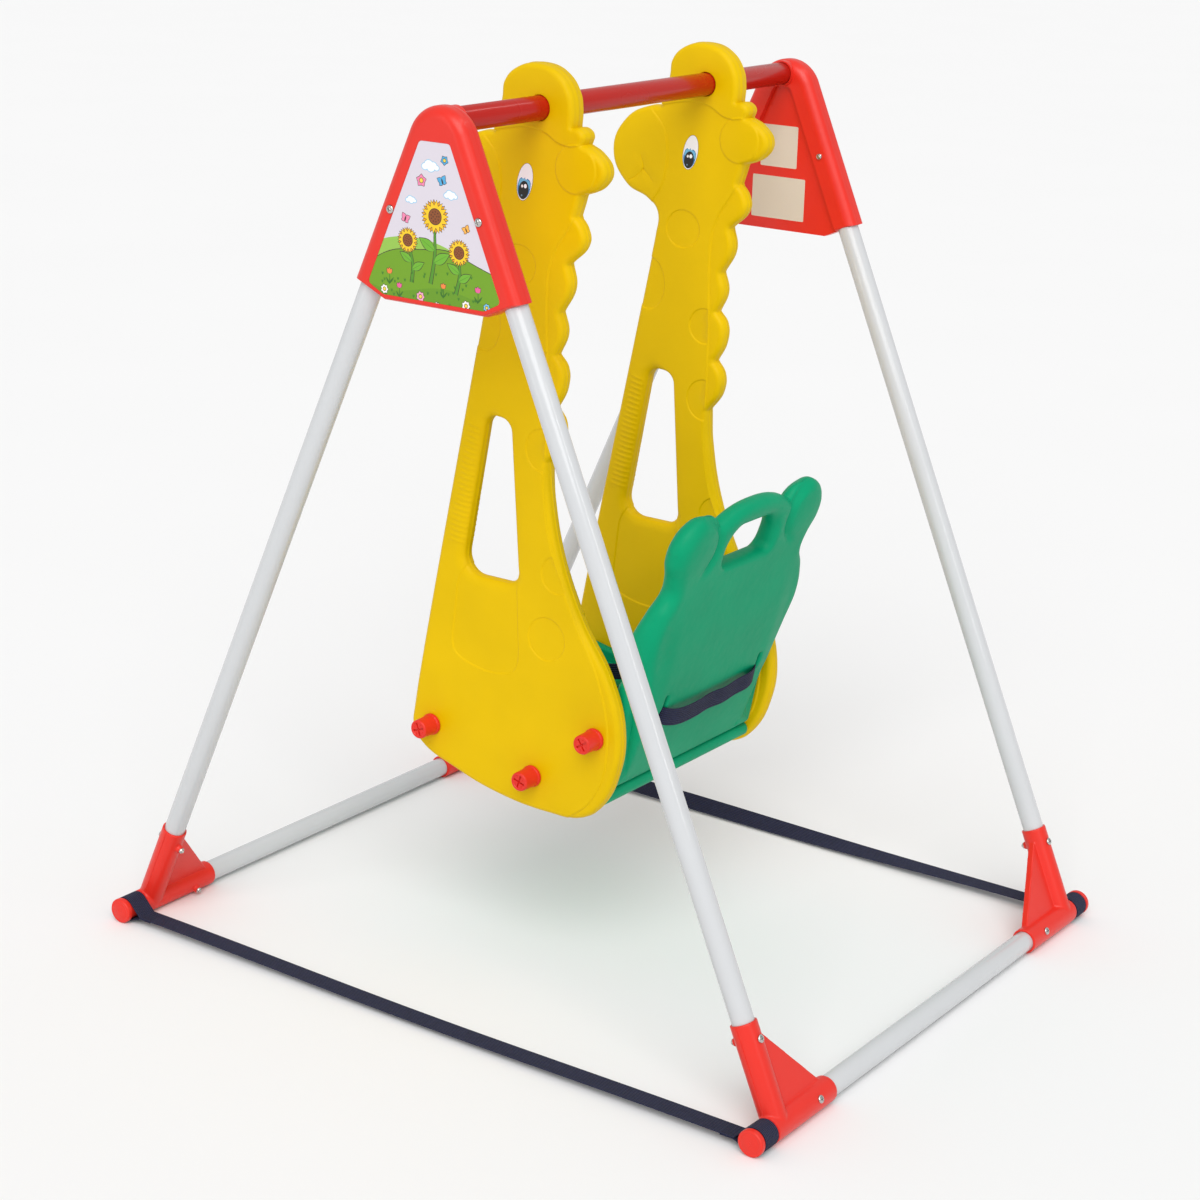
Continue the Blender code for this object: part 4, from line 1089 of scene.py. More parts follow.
class SWING_OT_corner_joints(bpy.types.Operator):
    """Make the moulded corner joints at the feet"""

    bl_idname = "swing.corner_joints"
    bl_label = "Corner joints"

    def execute(self, context):
        size = sizes()
        bore_r = size.tube_radius + GAP
        side_x, side_y = 1, 1
        foot = leg_point(side_x, side_y, 0)
        up = leg_point(side_x, side_y, 1) - foot
        out = Vector((side_x, 0, 0))
        normal = bolt_direction(side_y)
        joint = rod("joint_master", foot - out * size.base_socket_length,
                    foot + out * COLLAR_REACH, size.socket_radius, 96)
        unite(joint,
                rod("socket", foot, foot + up * size.leg_socket_length,
                    size.leg_socket_radius, 96, twist=0.01),
                web_prism(side_x, side_y, 0.0098))
        for place in bolt_places(side_x, side_y).values():
            unite(joint,
                    rod("boss", place - normal * 0.010,
                        place - normal * (size.socket_radius + BOSS_HEIGHT), BOSS_R, 32))
        # The mould's radii: remeshed at 1 mm, then eased
        modify(joint, "REMESH", mode="VOXEL", voxel_size=0.00105, use_smooth_shade=True)
        modify(joint, "SMOOTH", factor=0.5, iterations=7)
        modify(joint, "DECIMATE", ratio=0.42)
        stub = rod("stub", foot, foot + out * (COLLAR_REACH + STUB_LENGTH),
                   bore_r + STUB_WALL, 64)
        seam_in = size.leg_socket_radius - 0.001
        seam = block("seam", (-0.0006, seam_in, 0.012),
                     (0.0006, size.leg_socket_radius + 0.0005,
                      size.leg_socket_length - 0.0012))
        # The mould's parting ridge runs up the leg socket, on the web's side
        frame_up = Matrix((up.cross(out), out, up)).transposed().to_4x4()
        seam.data.transform(Matrix.Translation(foot) @ frame_up)
        unite(joint, stub, clean(seam))
        cut(joint,
                rod("base_bore", foot - out * 0.2, foot + out * 0.2, bore_r, 64, twist=0.02),
                rod("leg_bore", foot + up * (size.tube_radius + STUB_WALL + GAP * 2),
                    foot + up * 0.2, bore_r, 64, twist=0.03))
        for place in bolt_places(side_x, side_y).values():
            cut(joint,
                    rod("hole", place - normal * 0.04, place + normal * 0.04, SCREW_HOLE_R, 24),
                    rod("seat", place + normal * (size.socket_radius - 0.0003),
                        place + normal * 0.03, SCREW_SEAT_R, 32))
        trim(joint, 32)
        for corner, (to_x, to_y) in CORNERS.items():
            flip = Matrix.Diagonal((to_x, to_y, 1, 1))
            twin = copy_of(joint, "moulded_joint_" + corner, flip)
            settle(twin, STAND, "polypropylene_red", "corner_joint_" + corner)
        discard(joint)
        return {"FINISHED"}


def cross_recess(radius, depth, top):
    """The four-winged recess of a screw, as a cutter down from a height."""
    parts = []
    for turn in (0, math.pi / 2):
        wing = block("wing", (-radius, -radius * 0.14, top - depth),
                     (radius, radius * 0.14, top + depth))
        wing.data.transform(Matrix.Rotation(turn, 4, "Z"))
        parts.append(clean(wing))
    cone = rod("cone", (0, 0, top - depth * 1.3), (0, 0, top + depth), radius * 0.42, 16)
    for vert in cone.data.vertices:
        if vert.co.z < top:
            vert.co.x *= 0.3
            vert.co.y *= 0.3
    return [*parts, cone]


def pan_screw(name, long):
    """A pan-headed screw: head on local Z 0, pointing up, with a cross recess."""
    radius, height = sizes().screw_head, 0.0033
    shank = SCREW_SHANK_R
    dome = quarter(0, height * 0.34, radius, height * 0.66, 10)
    profile = [*dome, (radius, 0.0004), (radius - 0.0003, 0), (shank, 0), (shank, -long),
               (shank - 0.0007, -long - 0.0009), (0, -long - 0.0009)]
    screw = turned(name, profile, 40)
    cut(screw, *cross_recess(radius * 0.60, 0.0020, height))
    clean(screw)
    return smooth(screw, 30)


def flange_nut(name, bore):
    """A round press-in nut with a rolled edge."""
    outer, height = 0.0042, 0.0030
    profile = [(bore, height), (outer * 0.72, height), (outer * 0.88, height * 0.93),
               (outer, height * 0.72), (outer, 0), (bore, 0), (bore, height)]
    nut = turned(name, profile, 40)
    return smooth(nut, 40)


class SWING_OT_fasteners(bpy.types.Operator):
    """Make the screws and nuts of the stand"""

    bl_idname = "swing.fasteners"
    bl_label = "Screws and nuts"

    def execute(self, context):
        size = sizes()
        head_seat = size.socket_radius - 0.0003
        nut_seat = size.socket_radius + BOSS_HEIGHT
        long = head_seat + nut_seat + 0.0038
        screw = pan_screw("joint_screw_master", long)
        nut = flange_nut("nut_master", SCREW_SHANK_R + GAP)
        for corner, (side_x, side_y) in CORNERS.items():
            normal = bolt_direction(side_y)
            for tube, place in bolt_places(side_x, side_y).items():
                ending = "%s_%s" % (tube, corner)
                turn = Matrix.Rotation(0.5 + 0.7 * side_x + 0.4 * side_y, 4, "Z")
                bolt = copy_of(screw, "joint_screw_" + ending,
                               aim(place + normal * head_seat, normal) @ turn)
                settle(bolt, STAND, "zinc", "corner_bolt_" + ending)
                cap = copy_of(nut, "joint_nut_" + ending,
                              aim(place - normal * nut_seat, -normal))
                settle(cap, STAND, "zinc", "corner_nut_" + ending)
        face_x = FRAME_HALF_X + GAP / 2 + size.cover_depth - 0.0008
        nut_x = FRAME_HALF_X - size.cover_inner_depth
        screw_long = pan_screw("cover_screw_master", face_x - nut_x + 0.0036)
        for side, side_x in SIDES.items():
            for end, side_y in ENDS.items():
                place = screw_place(side_x, side_y)
                ending = "%s_%s" % (end, side)
                turn = Matrix.Rotation(0.4 * side_y, 4, "Z")
                bolt = copy_of(screw_long, "shell_screw_" + ending,
                               aim((side_x * face_x, place.y, place.z), (side_x, 0, 0)) @ turn)
                settle(bolt, STAND, "zinc", "cover_screw_" + ending)
                cap = copy_of(nut, "shell_nut_" + ending,
                              aim((side_x * nut_x, place.y, place.z), (-side_x, 0, 0)))
                settle(cap, STAND, "zinc", "cover_nut_" + ending)
        discard(screw, nut, screw_long)
        return {"FINISHED"}


class SWING_OT_end_caps(bpy.types.Operator):
    """Make the push-in caps on the base tubes' ends"""

    bl_idname = "swing.end_caps"
    bl_label = "End caps"

    def execute(self, context):
        size = sizes()
        plug = size.tube_radius - size.tube_wall - GAP
        radius, thick, soft = 0.0182, 0.0078, 0.0026
        edge = quarter(radius - soft, thick - soft, soft, soft, 15)
        profile = [(0, thick - 0.0002), (0.0012, thick - 0.0002), (0.0017, thick - 0.0005),
                   (0.0023, thick - 0.0001), (0.0128, thick + 0.0001),
                   (0.0136, thick - 0.0003), (0.0143, thick), *edge, (radius, 0.0004),
                   (radius - 0.0004, 0), (plug, 0), (plug, -0.016), (plug - 0.0012, -0.018),
                   (plug - 0.002, -0.018), (plug - 0.002, 0), (0, 0)]
        cap = smooth(turned("cap_master", profile, 72), 30)
        for corner, (side_x, side_y) in CORNERS.items():
            place = (side_x * (STUB_END_X + GAP), side_y * FOOT_HALF_Y, BASE_AXIS_Z)
            twin = copy_of(cap, "tube_cap_" + corner, aim(place, (side_x, 0, 0)))
            settle(twin, STAND, "polypropylene_red", "end_cap_" + corner)
        discard(cap)
        return {"FINISHED"}


# The webbing's run, its sewn length and the tail beyond it
STRAP_RUN_Z = BASE_AXIS_Z - 0.0058
STRAP_SEWN = 0.034
STRAP_TAIL = 0.016


def strap_end(side_y, thickness):
    """Centre line at one foot, from the tail round the stub and on to the run."""
    radius = sizes().tube_radius + STUB_WALL + 2.6 * GAP + thickness / 2
    centre = side_y * FOOT_HALF_Y
    tip_y = side_y * (FOOT_HALF_Y - STRAP_SEWN)
    offset = Vector((tip_y - centre, STRAP_RUN_Z - BASE_AXIS_Z))
    middle = math.atan2(offset.y, offset.x)
    spread = math.acos(radius / offset.length)
    lower = middle + spread * (1 if side_y > 0 else -1)
    sweep = (2 * math.pi - 2 * spread) * (1 if side_y > 0 else -1)
    arc = [(centre + radius * math.cos(lower + sweep * i / 30),
            BASE_AXIS_Z + radius * math.sin(lower + sweep * i / 30)) for i in range(31)]
    under = STRAP_RUN_Z - thickness * 1.03
    tail = [(tip_y - side_y * STRAP_TAIL, under - 0.0004), (tip_y, under),
            (tip_y + side_y * 0.004, under - 0.0002)]
    near = (tip_y + side_y * 0.004, STRAP_RUN_Z + 0.0002)
    run = [near, (tip_y, STRAP_RUN_Z), (tip_y - side_y * 0.02, STRAP_RUN_Z)]
    return [*tail, *arc, *run]


class SWING_OT_spread_straps(bpy.types.Operator):
    """Make the webbing straps that tie the feet"""

    bl_idname = "swing.spread_straps"
    bl_label = "Spread straps"

    def execute(self, context):
        size = sizes()
        thickness = size.strap_thickness
        middle_x = FRAME_HALF_X + COLLAR_REACH + STUB_LENGTH / 2
        for side, side_x in SIDES.items():
            rear = strap_end(1, thickness)
            front = strap_end(-1, thickness)[::-1]
            start, stop = rear[-1][0], front[0][0]
            run = [(start + (stop - start) * i / 40, STRAP_RUN_Z) for i in range(1, 40)]
            path, ups = [], []
            for y, z in [*rear, *run, *front]:
                share = (start - y) / (start - stop)
                lift, roll = 0.0, 0.0
                if 0 < share < 1:
                    # The webbing hangs a little, and the far one is given half a roll
                    lift = -0.0042 * math.sin(math.pi * share) ** 2
                    if side_x < 0:
                        roll = math.radians(30) * math.sin(math.pi * share ** 1.5) ** 1.3
                lift += 0.010 * math.sin(roll) ** 2
                path.append(Vector((side_x * middle_x, y, z + lift)))
                ups.append(Vector((math.cos(roll), 0, side_x * math.sin(roll))))
            strap = ribbon("webbing_strap_" + side, path, ups, size.strap_width, thickness)
            settle(strap, STAND, "webbing", "spread_strap_" + side)
            places = []
            for side_y in (1, -1):
                tip_y = side_y * (FOOT_HALF_Y - STRAP_SEWN)
                top = STRAP_RUN_Z + thickness / 2
                low = STRAP_RUN_Z - thickness * 1.55 - 0.0003
                for z, way in ((top, 1), (low, -1)):
                    for row in (0.001, 0.0055, 0.010, 0.0145):
                        for i in range(9):
                            x = side_x * middle_x + (i - 4) * 0.0028
                            places.append(((x, tip_y - side_y * row, z), (1, 0, 0),
                                           (0, 0, way)))
            thread = stitches("strap_stitching_" + side, places)
            settle(thread, STAND, "webbing")
        return {"FINISHED"}


def cover_outline(side_offset, bottom_rise=0.0, top=None, arc_steps=28):
    """The cover's face outline in (y, z), offset from the leg axes."""
    end_y = leg_half_y(COVER_LEG_END_Z)
    bottom_y = end_y - COVER_CHAMFER_REACH * LEG_COS
    bottom_z = COVER_LEG_END_Z - COVER_CHAMFER_REACH * LEG_SIN + bottom_rise
    shift = bottom_rise / LEG_COS
    outer = (end_y + side_offset * LEG_COS - shift * LEG_SIN,
             COVER_LEG_END_Z + side_offset * LEG_SIN + shift * LEG_COS)
    right = [(bottom_y, bottom_z), outer]
    if top is None:
        top_z = BAR_Z + COVER_TOP_OVER_BAR - (COVER_SIDE - side_offset)
        centre_z = (top_z - side_offset - APEX_Z * LEG_SIN) / (1 - LEG_SIN)
        radius = top_z - centre_z
        tilt = math.asin(LEG_SIN)
        sweep = math.pi - 2 * tilt
        arc = [(radius * math.cos(tilt + sweep * i / arc_steps),
                centre_z + radius * math.sin(tilt + sweep * i / arc_steps))
               for i in range(arc_steps + 1)]
    else:
        half = leg_half_y(top) + side_offset / LEG_COS
        arc = [(half, top), (-half, top)]
    return right + arc + [(-y, z) for y, z in reversed(right)]


def picture_outline(clearance=0.0):
    """The sheet's outline with its rounded corners."""
    top = BAR_Z - 0.0235 + clearance
    corners = cover_outline(-0.006 + clearance, 0.0085 - clearance, top)
    radii = (0.012, 0.0055, 0.006, 0.006, 0.0055, 0.012)
    return rounded([(y, z, r) for (y, z), r in zip(corners, radii)], 8)


def shell(name, side_x, depth, face_side, rounding, low_rounding):
    """Half a cover: an outline extruded, its face edges rounded by weight."""
    piece = prism(name, cover_outline(COVER_SIDE), depth)
    way = side_x * face_side
    bm = bmesh.new()
    bm.from_mesh(piece.data)
    weights = bm.edges.layers.float.new("bevel_weight_edge")
    for edge in bm.edges:
        on_face = all(vert.co.z * way > 0 for vert in edge.verts)
        if on_face and edge.calc_face_angle(0) > math.radians(60):
            low = max(vert.co.y for vert in edge.verts) < COVER_LEG_END_Z + COVER_SIDE
            edge[weights] = low_rounding / rounding if low else 1.0
    bm.to_mesh(piece.data)
    bm.free()
    modify(piece, "BEVEL", limit_method="WEIGHT", width=rounding, segments=10,
           use_clamp_overlap=False)
    middle = side_x * (FRAME_HALF_X + face_side * (GAP / 2 + depth / 2))
    piece.data.transform(side_view(middle))
    return clean(piece)


def side_prism(name, loop, middle_x, depth):
    piece = prism(name, loop, depth)
    piece.data.transform(side_view(middle_x))
    return clean(piece)


def shell_bores(piece, side_x, bar_from, bar_to):
    """Channels for the legs and the bar, and the screw holes."""
    size = sizes()
    for side_y in ENDS.values():
        cut(piece, rod(
            "channel", leg_point(side_x, side_y, leg_reach(COVER_LEG_END_Z) - LEG_CHANNEL_END),
            leg_point(side_x, side_y, leg_reach(BAR_Z - LEG_TOP_UNDER_BAR) + 0.002),
            size.tube_radius + GAP, 64, twist=0.02))
        place = screw_place(side_x, side_y)
        across = Vector((0.05, 0, 0))
        cut(piece, rod("screw_hole", place - across, place + across, SCREW_HOLE_R, 24))
    cut(piece, rod("bar_bore", (side_x * bar_from, 0, BAR_Z), (side_x * bar_to, 0, BAR_Z),
                   size.bar_radius + GAP, 64, twist=0.03))


class SWING_OT_covers(bpy.types.Operator):
    """Make the moulded covers at the heads of the A-frames"""

    bl_idname = "swing.covers"
    bl_label = "Head covers"

    def execute(self, context):
        size = sizes()
        for side, side_x in SIDES.items():
            depth = size.cover_depth
            outer = shell("cover_shell_outer_" + side, side_x, depth, 1, size.cover_round,
                          size.cover_low_round)
            shell_bores(outer, side_x, FRAME_HALF_X - 0.01, FRAME_HALF_X + BAR_END_REACH + GAP)
            face_x = side_x * (FRAME_HALF_X + GAP / 2 + depth)
            cut(outer, side_prism("picture_recess", picture_outline(GAP), face_x, SHEET_RECESS))
            for side_y in ENDS.values():
                place = screw_place(side_x, side_y)
                cut(outer, rod(
                    "screw_seat", (face_x - side_x * 0.0008, place.y, place.z),
                    (face_x + side_x * 0.01, place.y, place.z), SCREW_SEAT_R, 40))
            trim(outer, 35, 80)
            settle(outer, STAND, "polypropylene_red", "cover_outer_" + side)

            depth = size.cover_inner_depth
            inner = shell("cover_shell_inner_" + side, side_x, depth, -1, size.cover_round,
                          size.cover_low_round)
            inner_x = FRAME_HALF_X - GAP / 2 - depth
            rim = cover_outline(-COVER_RIM_HALF, -0.005, BAR_Z - COLLAR_R)
            radii = (0.004, 0.0, 0.010, 0.010, 0.0, 0.004)
            web = rounded([(y, z, max(r, 0.0005)) for (y, z), r in zip(rim, radii)], 6)
            cut(inner, side_prism(
                "web_recess", web, side_x * inner_x, 2 * (depth - COVER_WEB_DEPTH)))
            collar = rod("bar_collar", (side_x * (inner_x - 0.004), 0, BAR_Z),
                         (side_x * (inner_x + 0.006), 0, BAR_Z), COLLAR_R, 72)
            unite(inner, collar)
            shell_bores(inner, side_x, inner_x - 0.01, FRAME_HALF_X + 0.01)
            trim(inner, 35, 80)
            settle(inner, STAND, "polypropylene_red", "cover_inner_" + side)
        return {"FINISHED"}


# Printed pieces

def printed_sheet(name, outline, shapes, thickness, ground):
    """A thin sheet whose front is split into inked areas.

    shapes are (outline, colour) in drawing order. The front is at local Z 0.
    """
    points, faces = [], []
    for loop, _ in [(outline, None), *shapes]:
        first = len(points)
        area = sum(x0 * y1 - x1 * y0 for (x0, y0), (x1, y1) in zip(loop, loop[1:] + loop[:1]))
        points += [Vector((x * CUT_SCALE, y * CUT_SCALE))
                   for x, y in (loop if area > 0 else loop[::-1])]
        faces.append(list(range(first, len(points))))
    flat, _, cells, _, _, origins = geometry.delaunay_2d_cdt(points, [], faces, 0, 1e-3)
    inks = [ground, *[ink for _, ink in shapes]]
    bm = bmesh.new()
    layer = bm.loops.layers.float_color.new("ink")
    front = [bm.verts.new((v.x / CUT_SCALE, v.y / CUT_SCALE, 0)) for v in flat]
    for cell, origin in zip(cells, origins):
        if 0 not in origin:
            continue
        face = bm.faces.new([front[i] for i in cell])
        for loop in face.loops:
            loop[layer] = (*linear(inks[max(origin)]), 1.0)
    bmesh.ops.delete(bm, geom=[v for v in bm.verts if not v.link_faces], context="VERTS")
    bmesh.ops.recalc_face_normals(bm, faces=bm.faces)
    if sum(face.normal.z for face in bm.faces) < 0:
        bmesh.ops.reverse_faces(bm, faces=bm.faces)
    rim = [edge for edge in bm.edges if edge.is_boundary]
    made = bmesh.ops.extrude_edge_only(bm, edges=rim)["geom"]
    low = [item for item in made if isinstance(item, bmesh.types.BMVert)]
    for vert in low:
        vert.co.z = -thickness
    rim = [edge for edge in bm.edges if edge.is_boundary]
    bmesh.ops.contextual_create(bm, geom=rim)
    for face in bm.faces:
        if abs(face.normal.z) < 0.5 or face.calc_center_median().z < -thickness / 2:
            for loop in face.loops:
                loop[layer] = (*linear(ground), 1.0)
    bmesh.ops.recalc_face_normals(bm, faces=bm.faces)
    return piece_of(name, bm)


def disc(x, y, radius, steps=28, squash=1.0, turn=0.0):
    """An ellipse's outline."""
    return [swung(x, y, radius * math.cos(a), radius * squash * math.sin(a), turn)
            for a in (2 * math.pi * i / steps for i in range(steps))]


def band(points, width, steps=5):
    """A line's outline with a width, tapered at its far end."""
    path = smooth_path([(*p, 0) for p in points], steps)
    left, right = [], []
    for number, place in enumerate(path):
        along = way_along(path, number)
        half = width / 2 * (1 - 0.55 * number / (len(path) - 1))
        left.append((place.x - along.y * half, place.y + along.x * half))
        right.append((place.x + along.y * half, place.y - along.x * half))
    return left + right[::-1]


def leaf(x, y, long, wide, turn):
    """A pointed leaf or petal, from its root outwards."""
    side = [(t, wide / 2 * math.sin(math.pi * t ** 0.8)) for t in (i / 10 for i in range(11))]
    loop = [(t * long, w) for t, w in side] + [(t * long, -w) for t, w in side[-2:0:-1]]
    return [swung(x, y, u, v, turn) for u, v in loop]


INK = "3A2A22"


def petals(x, y, long, wide, count, turn, inks):
    """Rings of petals. Each ring is (ink, how far it is grown, share of a step on)."""
    return [(leaf(x, y, long + grow, wide + grow * 1.6,
                  turn + 2 * math.pi * (i + share) / count), ink)
            for ink, grow, share in inks for i in range(count)]


def daisy(x, y, radius, petal, heart, count, turn=0.0):
    """A flower seen from the front, with an inked edge."""
    line = 0.0008
    return [*petals(x, y, radius, radius * 0.86, count, turn, ((INK, line, 0), (petal, 0, 0))),
            (disc(x, y, radius * 0.34 + line, 18), INK), (disc(x, y, radius * 0.34, 18), heart)]


def sunflower(root_x, root_y, x, y, radius, turn):
    """A tall sunflower on its stem, with two leaves."""
    bend = ((root_x, root_y), ((root_x * 2 + x) / 3 + 0.004, root_y + (y - root_y) * 0.4),
            ((root_x + 2 * x) / 3 + 0.002, root_y + (y - root_y) * 0.75), (x, y))
    shapes = [(band(bend, 0.0066), INK), (band(bend, 0.0048), "4F8F1E")]
    long, wide = radius * 1.35, radius * 0.62
    for share, lean in ((0.32, 0.5), (0.5, math.pi - 0.5)):
        root = (root_x + (x - root_x) * share + 0.003, root_y + (y - root_y) * share)
        vein = [swung(*root, radius * out, 0, lean) for out in (0, 0.6, 1.1)]
        shapes += [(leaf(*root, long + 0.0012, wide + 0.0016, lean), INK),
                   (leaf(*root, long, wide, lean), "6DB02A"), (band(vein, 0.0009), "4F8F1E")]
    shapes += petals(x, y, radius, radius * 0.36, 14, turn,
                     ((INK, 0.0012, 0.5), ("E8A310", 0, 0.5), (INK, 0.0009, 0), ("F6C81B", 0, 0)))
    shapes += [(disc(x, y, radius * 0.46 + 0.0010, 26), INK),
               (disc(x, y, radius * 0.46, 26), "8A4A1C")]
    for ring, count in ((0.30, 9), (0.14, 4)):
        shapes += [(disc(*swung(x, y, radius * ring, 0, turn + 2 * math.pi * i / count),
                         radius * 0.055, 8), "5B2E12") for i in range(count)]
    return shapes


def cloud(x, y, size):
    """A small cloud with a pale blue edge."""
    puffs = ((-1.0, 0.0, 0.55), (-0.3, 0.35, 0.75), (0.55, 0.22, 0.62), (1.15, -0.05, 0.42),
             (0.1, -0.1, 0.7))
    return [(disc(x + dx * size, y + dy * size, r * size + grow, 20, 0.82), ink)
            for ink, grow in (("8CC4E4", 0.0011), ("F4F8FC", 0)) for dx, dy, r in puffs]


def butterfly(x, y, size, ink, turn):
    """A butterfly from above."""
    wings = ((0.75, 1.0, 0.72), (2.4, 1.0, 0.72), (-0.5, 0.72, 0.6), (-2.64, 0.72, 0.6))
    return [*((leaf(x, y, long * size + grow, wide * size + grow * 1.5, turn + away), now)
              for now, grow in ((INK, 0.0008), (ink, 0)) for away, long, wide in wings),
            (disc(x, y, size * 0.14, 12, 3.2, turn), INK)]


def tulip(x, y, size, ink):
    """A tulip with its stem and its leaves."""
    stem = ((x, y - size * 2.4), (x + size * 0.1, y - size), (x, y))
    return [(band(stem, size * 0.26), "2F6B14"),
            *((leaf(x, y - size * 2.3, size * long, size * 0.42, turn), "2F6B14")
              for turn, long in ((0.9, 1.9), (2.2, 1.6))),
            *((leaf(x, y - size * 0.25, long * size + grow, size * 0.72 + grow * 1.6, turn), now)
              for now, grow in ((INK, 0.0008), (ink, 0))
              for turn, long in ((1.57, 1.25), (1.02, 1.2), (2.12, 1.2)))]


def hill(low, ridge):
    """A hill right across the sheet, from a low line up to its ridge's height."""
    return [(-0.20, low), (0.20, low)] + [
        (y, ridge(y)) for y in (0.20 - 0.01 * i for i in range(41))]


YOLK, SKY, ROSE, WHITE_PETAL = "F6D64A", "4FA9DA", "EE86AC", "F8F4F0"
TULIPS = ((-0.070, 1.012, 0.0062, "F0843C"), (0.070, 1.006, 0.0062, "E8609A"),
          (0.016, 1.004, 0.0056, "F0843C"), (-0.054, 0.996, 0.0056, "E8609A"))
DAISIES = ((-0.078, 0.990, 0.0060, WHITE_PETAL), (-0.020, 0.988, 0.0066, "F2A7C3"),
           (0.052, 0.986, 0.0064, WHITE_PETAL), (0.084, 0.988, 0.0052, "7CC6E8"),
           (0.006, 0.980, 0.0046, WHITE_PETAL), (-0.050, 0.979, 0.0048, "7CC6E8"))


def meadow():
    """Shapes of a generic meadow: sky, hills, flowers, clouds and butterflies."""
    middle = hill(0.95, lambda y: 1.0500 - 0.024 * (y / 0.1) ** 2 + 0.0018 * math.sin(y * 70))
    shapes = [(hill(0.95, lambda y: 1.0610 - 0.030 * ((y + 0.03) / 0.1) ** 2), "93C04C"),
              (middle, INK), ([(y, z - 0.0010) for y, z in middle], "6E9E14"),
              (hill(0.94, lambda y: 0.9960 + 0.006 * math.sin(y * 38 + 1.0)), "649514"),
              *cloud(-0.006, 1.150, 0.0085),
              *cloud(0.026, 1.118, 0.0065),
              *cloud(-0.036, 1.106, 0.0052),
              *daisy(-0.020, 1.132, 0.0078, ROSE, YOLK, 5, 0.3),
              *daisy(0.016, 1.160, 0.0058, SKY, YOLK, 5, 0.9),
              *butterfly(0.013, 1.134, 0.0088, SKY, 0.35),
              *butterfly(-0.045, 1.082, 0.0085, ROSE, -0.3),
              *butterfly(0.051, 1.079, 0.0072, "F7B24A", 0.5),
              *sunflower(-0.004, 1.006, 0.002, 1.090, 0.0205, 0.1),
              *sunflower(-0.034, 1.004, -0.041, 1.056, 0.0155, 0.5),
              *sunflower(0.036, 0.998, 0.040, 1.050, 0.0160, 0.2)]
    draw = random.Random(7)
    for _ in range(34):
        tuft = draw.uniform(-0.088, 0.088), draw.uniform(0.978, 1.022)
        shapes += [(leaf(*tuft, 0.0052, 0.0011, turn), "3E7A16") for turn in (1.2, 1.57, 1.95)]
    for place in TULIPS:
        shapes += tulip(*place)
    for place in DAISIES:
        shapes += daisy(*place, YOLK, 7)
    return shapes


class SWING_OT_prints(bpy.types.Operator):
    """Make the printed sheets of the covers and the blank labels"""

    bl_idname = "swing.prints"
    bl_label = "Printed sheets"

    def execute(self, context):
        size = sizes()
        sheet = printed_sheet("sheet_master", picture_outline(), meadow(), SHEET, "D8D1DB")
        for side, side_x in SIDES.items():
            face_x = side_x * (FRAME_HALF_X + GAP / 2 + size.cover_depth - 0.0006 + 0.0003)
            place = side_view(face_x)
            if side_x < 0:
                place = place @ MIRROR_FACE
            twin = copy_of(sheet, "printed_sheet_" + side, place)
            settle(twin, STAND, "film", "picture_panel_" + side)
        discard(sheet)
        face_x = -(FRAME_HALF_X - GAP / 2 - COVER_WEB_DEPTH)
        for name, (y0, y1, z0, z1) in (("upper", (-0.035, 0.027, 1.067, 1.128)),
                                       ("lower", (-0.047, 0.043, 0.991, 1.053))):
            loop = rounded([(y1, z0, 0.002), (y1, z1, 0.002), (y0, z1, 0.002),
                            (y0, z0, 0.002)], 5)
            label = printed_sheet("blank_label_" + name, loop, [], FILM, LABEL_PAPER)
            label.data.transform(side_view(face_x + FILM_FACE))
            settle(label, STAND, "label")
        return {"FINISHED"}


# Swing

# Side panel outline in millimetres from the bar's axis: y, z and 1 for a corner
GIRAFFE_OUTLINE = (
    (-63, 8, 0), (-59.5, 30, 0), (-39.5, 48.5, 0), (-5, 55.5, 0), (27, 45.5, 0),
    (46.5, 22, 0), (51, 0, 0), (50, -21, 1), (62, -21.5, 0), (70, -30, 0), (67.5, -41, 1),
    (87, -50, 0), (103, -72, 0), (94, -92, 0), (65, -106, 1), (56, -134, 1), (68, -149, 0),
    (71, -168, 0), (45, -197, 1), (51, -227, 0), (33.5, -262, 1), (40.5, -289, 0),
    (28.5, -319, 1), (41.5, -335, 0), (41.5, -364, 0), (28, -391, 1), (40.5, -408, 0),
    (40, -435, 0), (20, -465, 1), (24, -510, 0), (43.5, -595, 0), (79.5, -675, 0),
    (129, -750, 0), (151, -820, 0), (144, -885, 0), (117.5, -937, 0), (90, -957, 0),
    (40, -962, 0), (-50, -956, 0), (-130, -936, 0), (-188.5, -912, 0), (-204, -890, 0),
    (-202.5, -860, 0), (-79.5, -222, 1), (-77, -188, 0), (-92, -171, 0), (-131, -153, 0),
    (-156.5, -106, 0), (-136, -60, 0), (-94.5, -38.5, 0), (-75, -37.5, 1), (-76, -32, 1),
    (-69, -18, 0),
)
ARM_OPENING = (
    (-0.0815, -0.4160, 0.0190), (-0.1220, -0.6460, 0.0280),
    (-0.0200, -0.6460, 0.0240), (-0.0390, -0.4160, 0.0190),
)

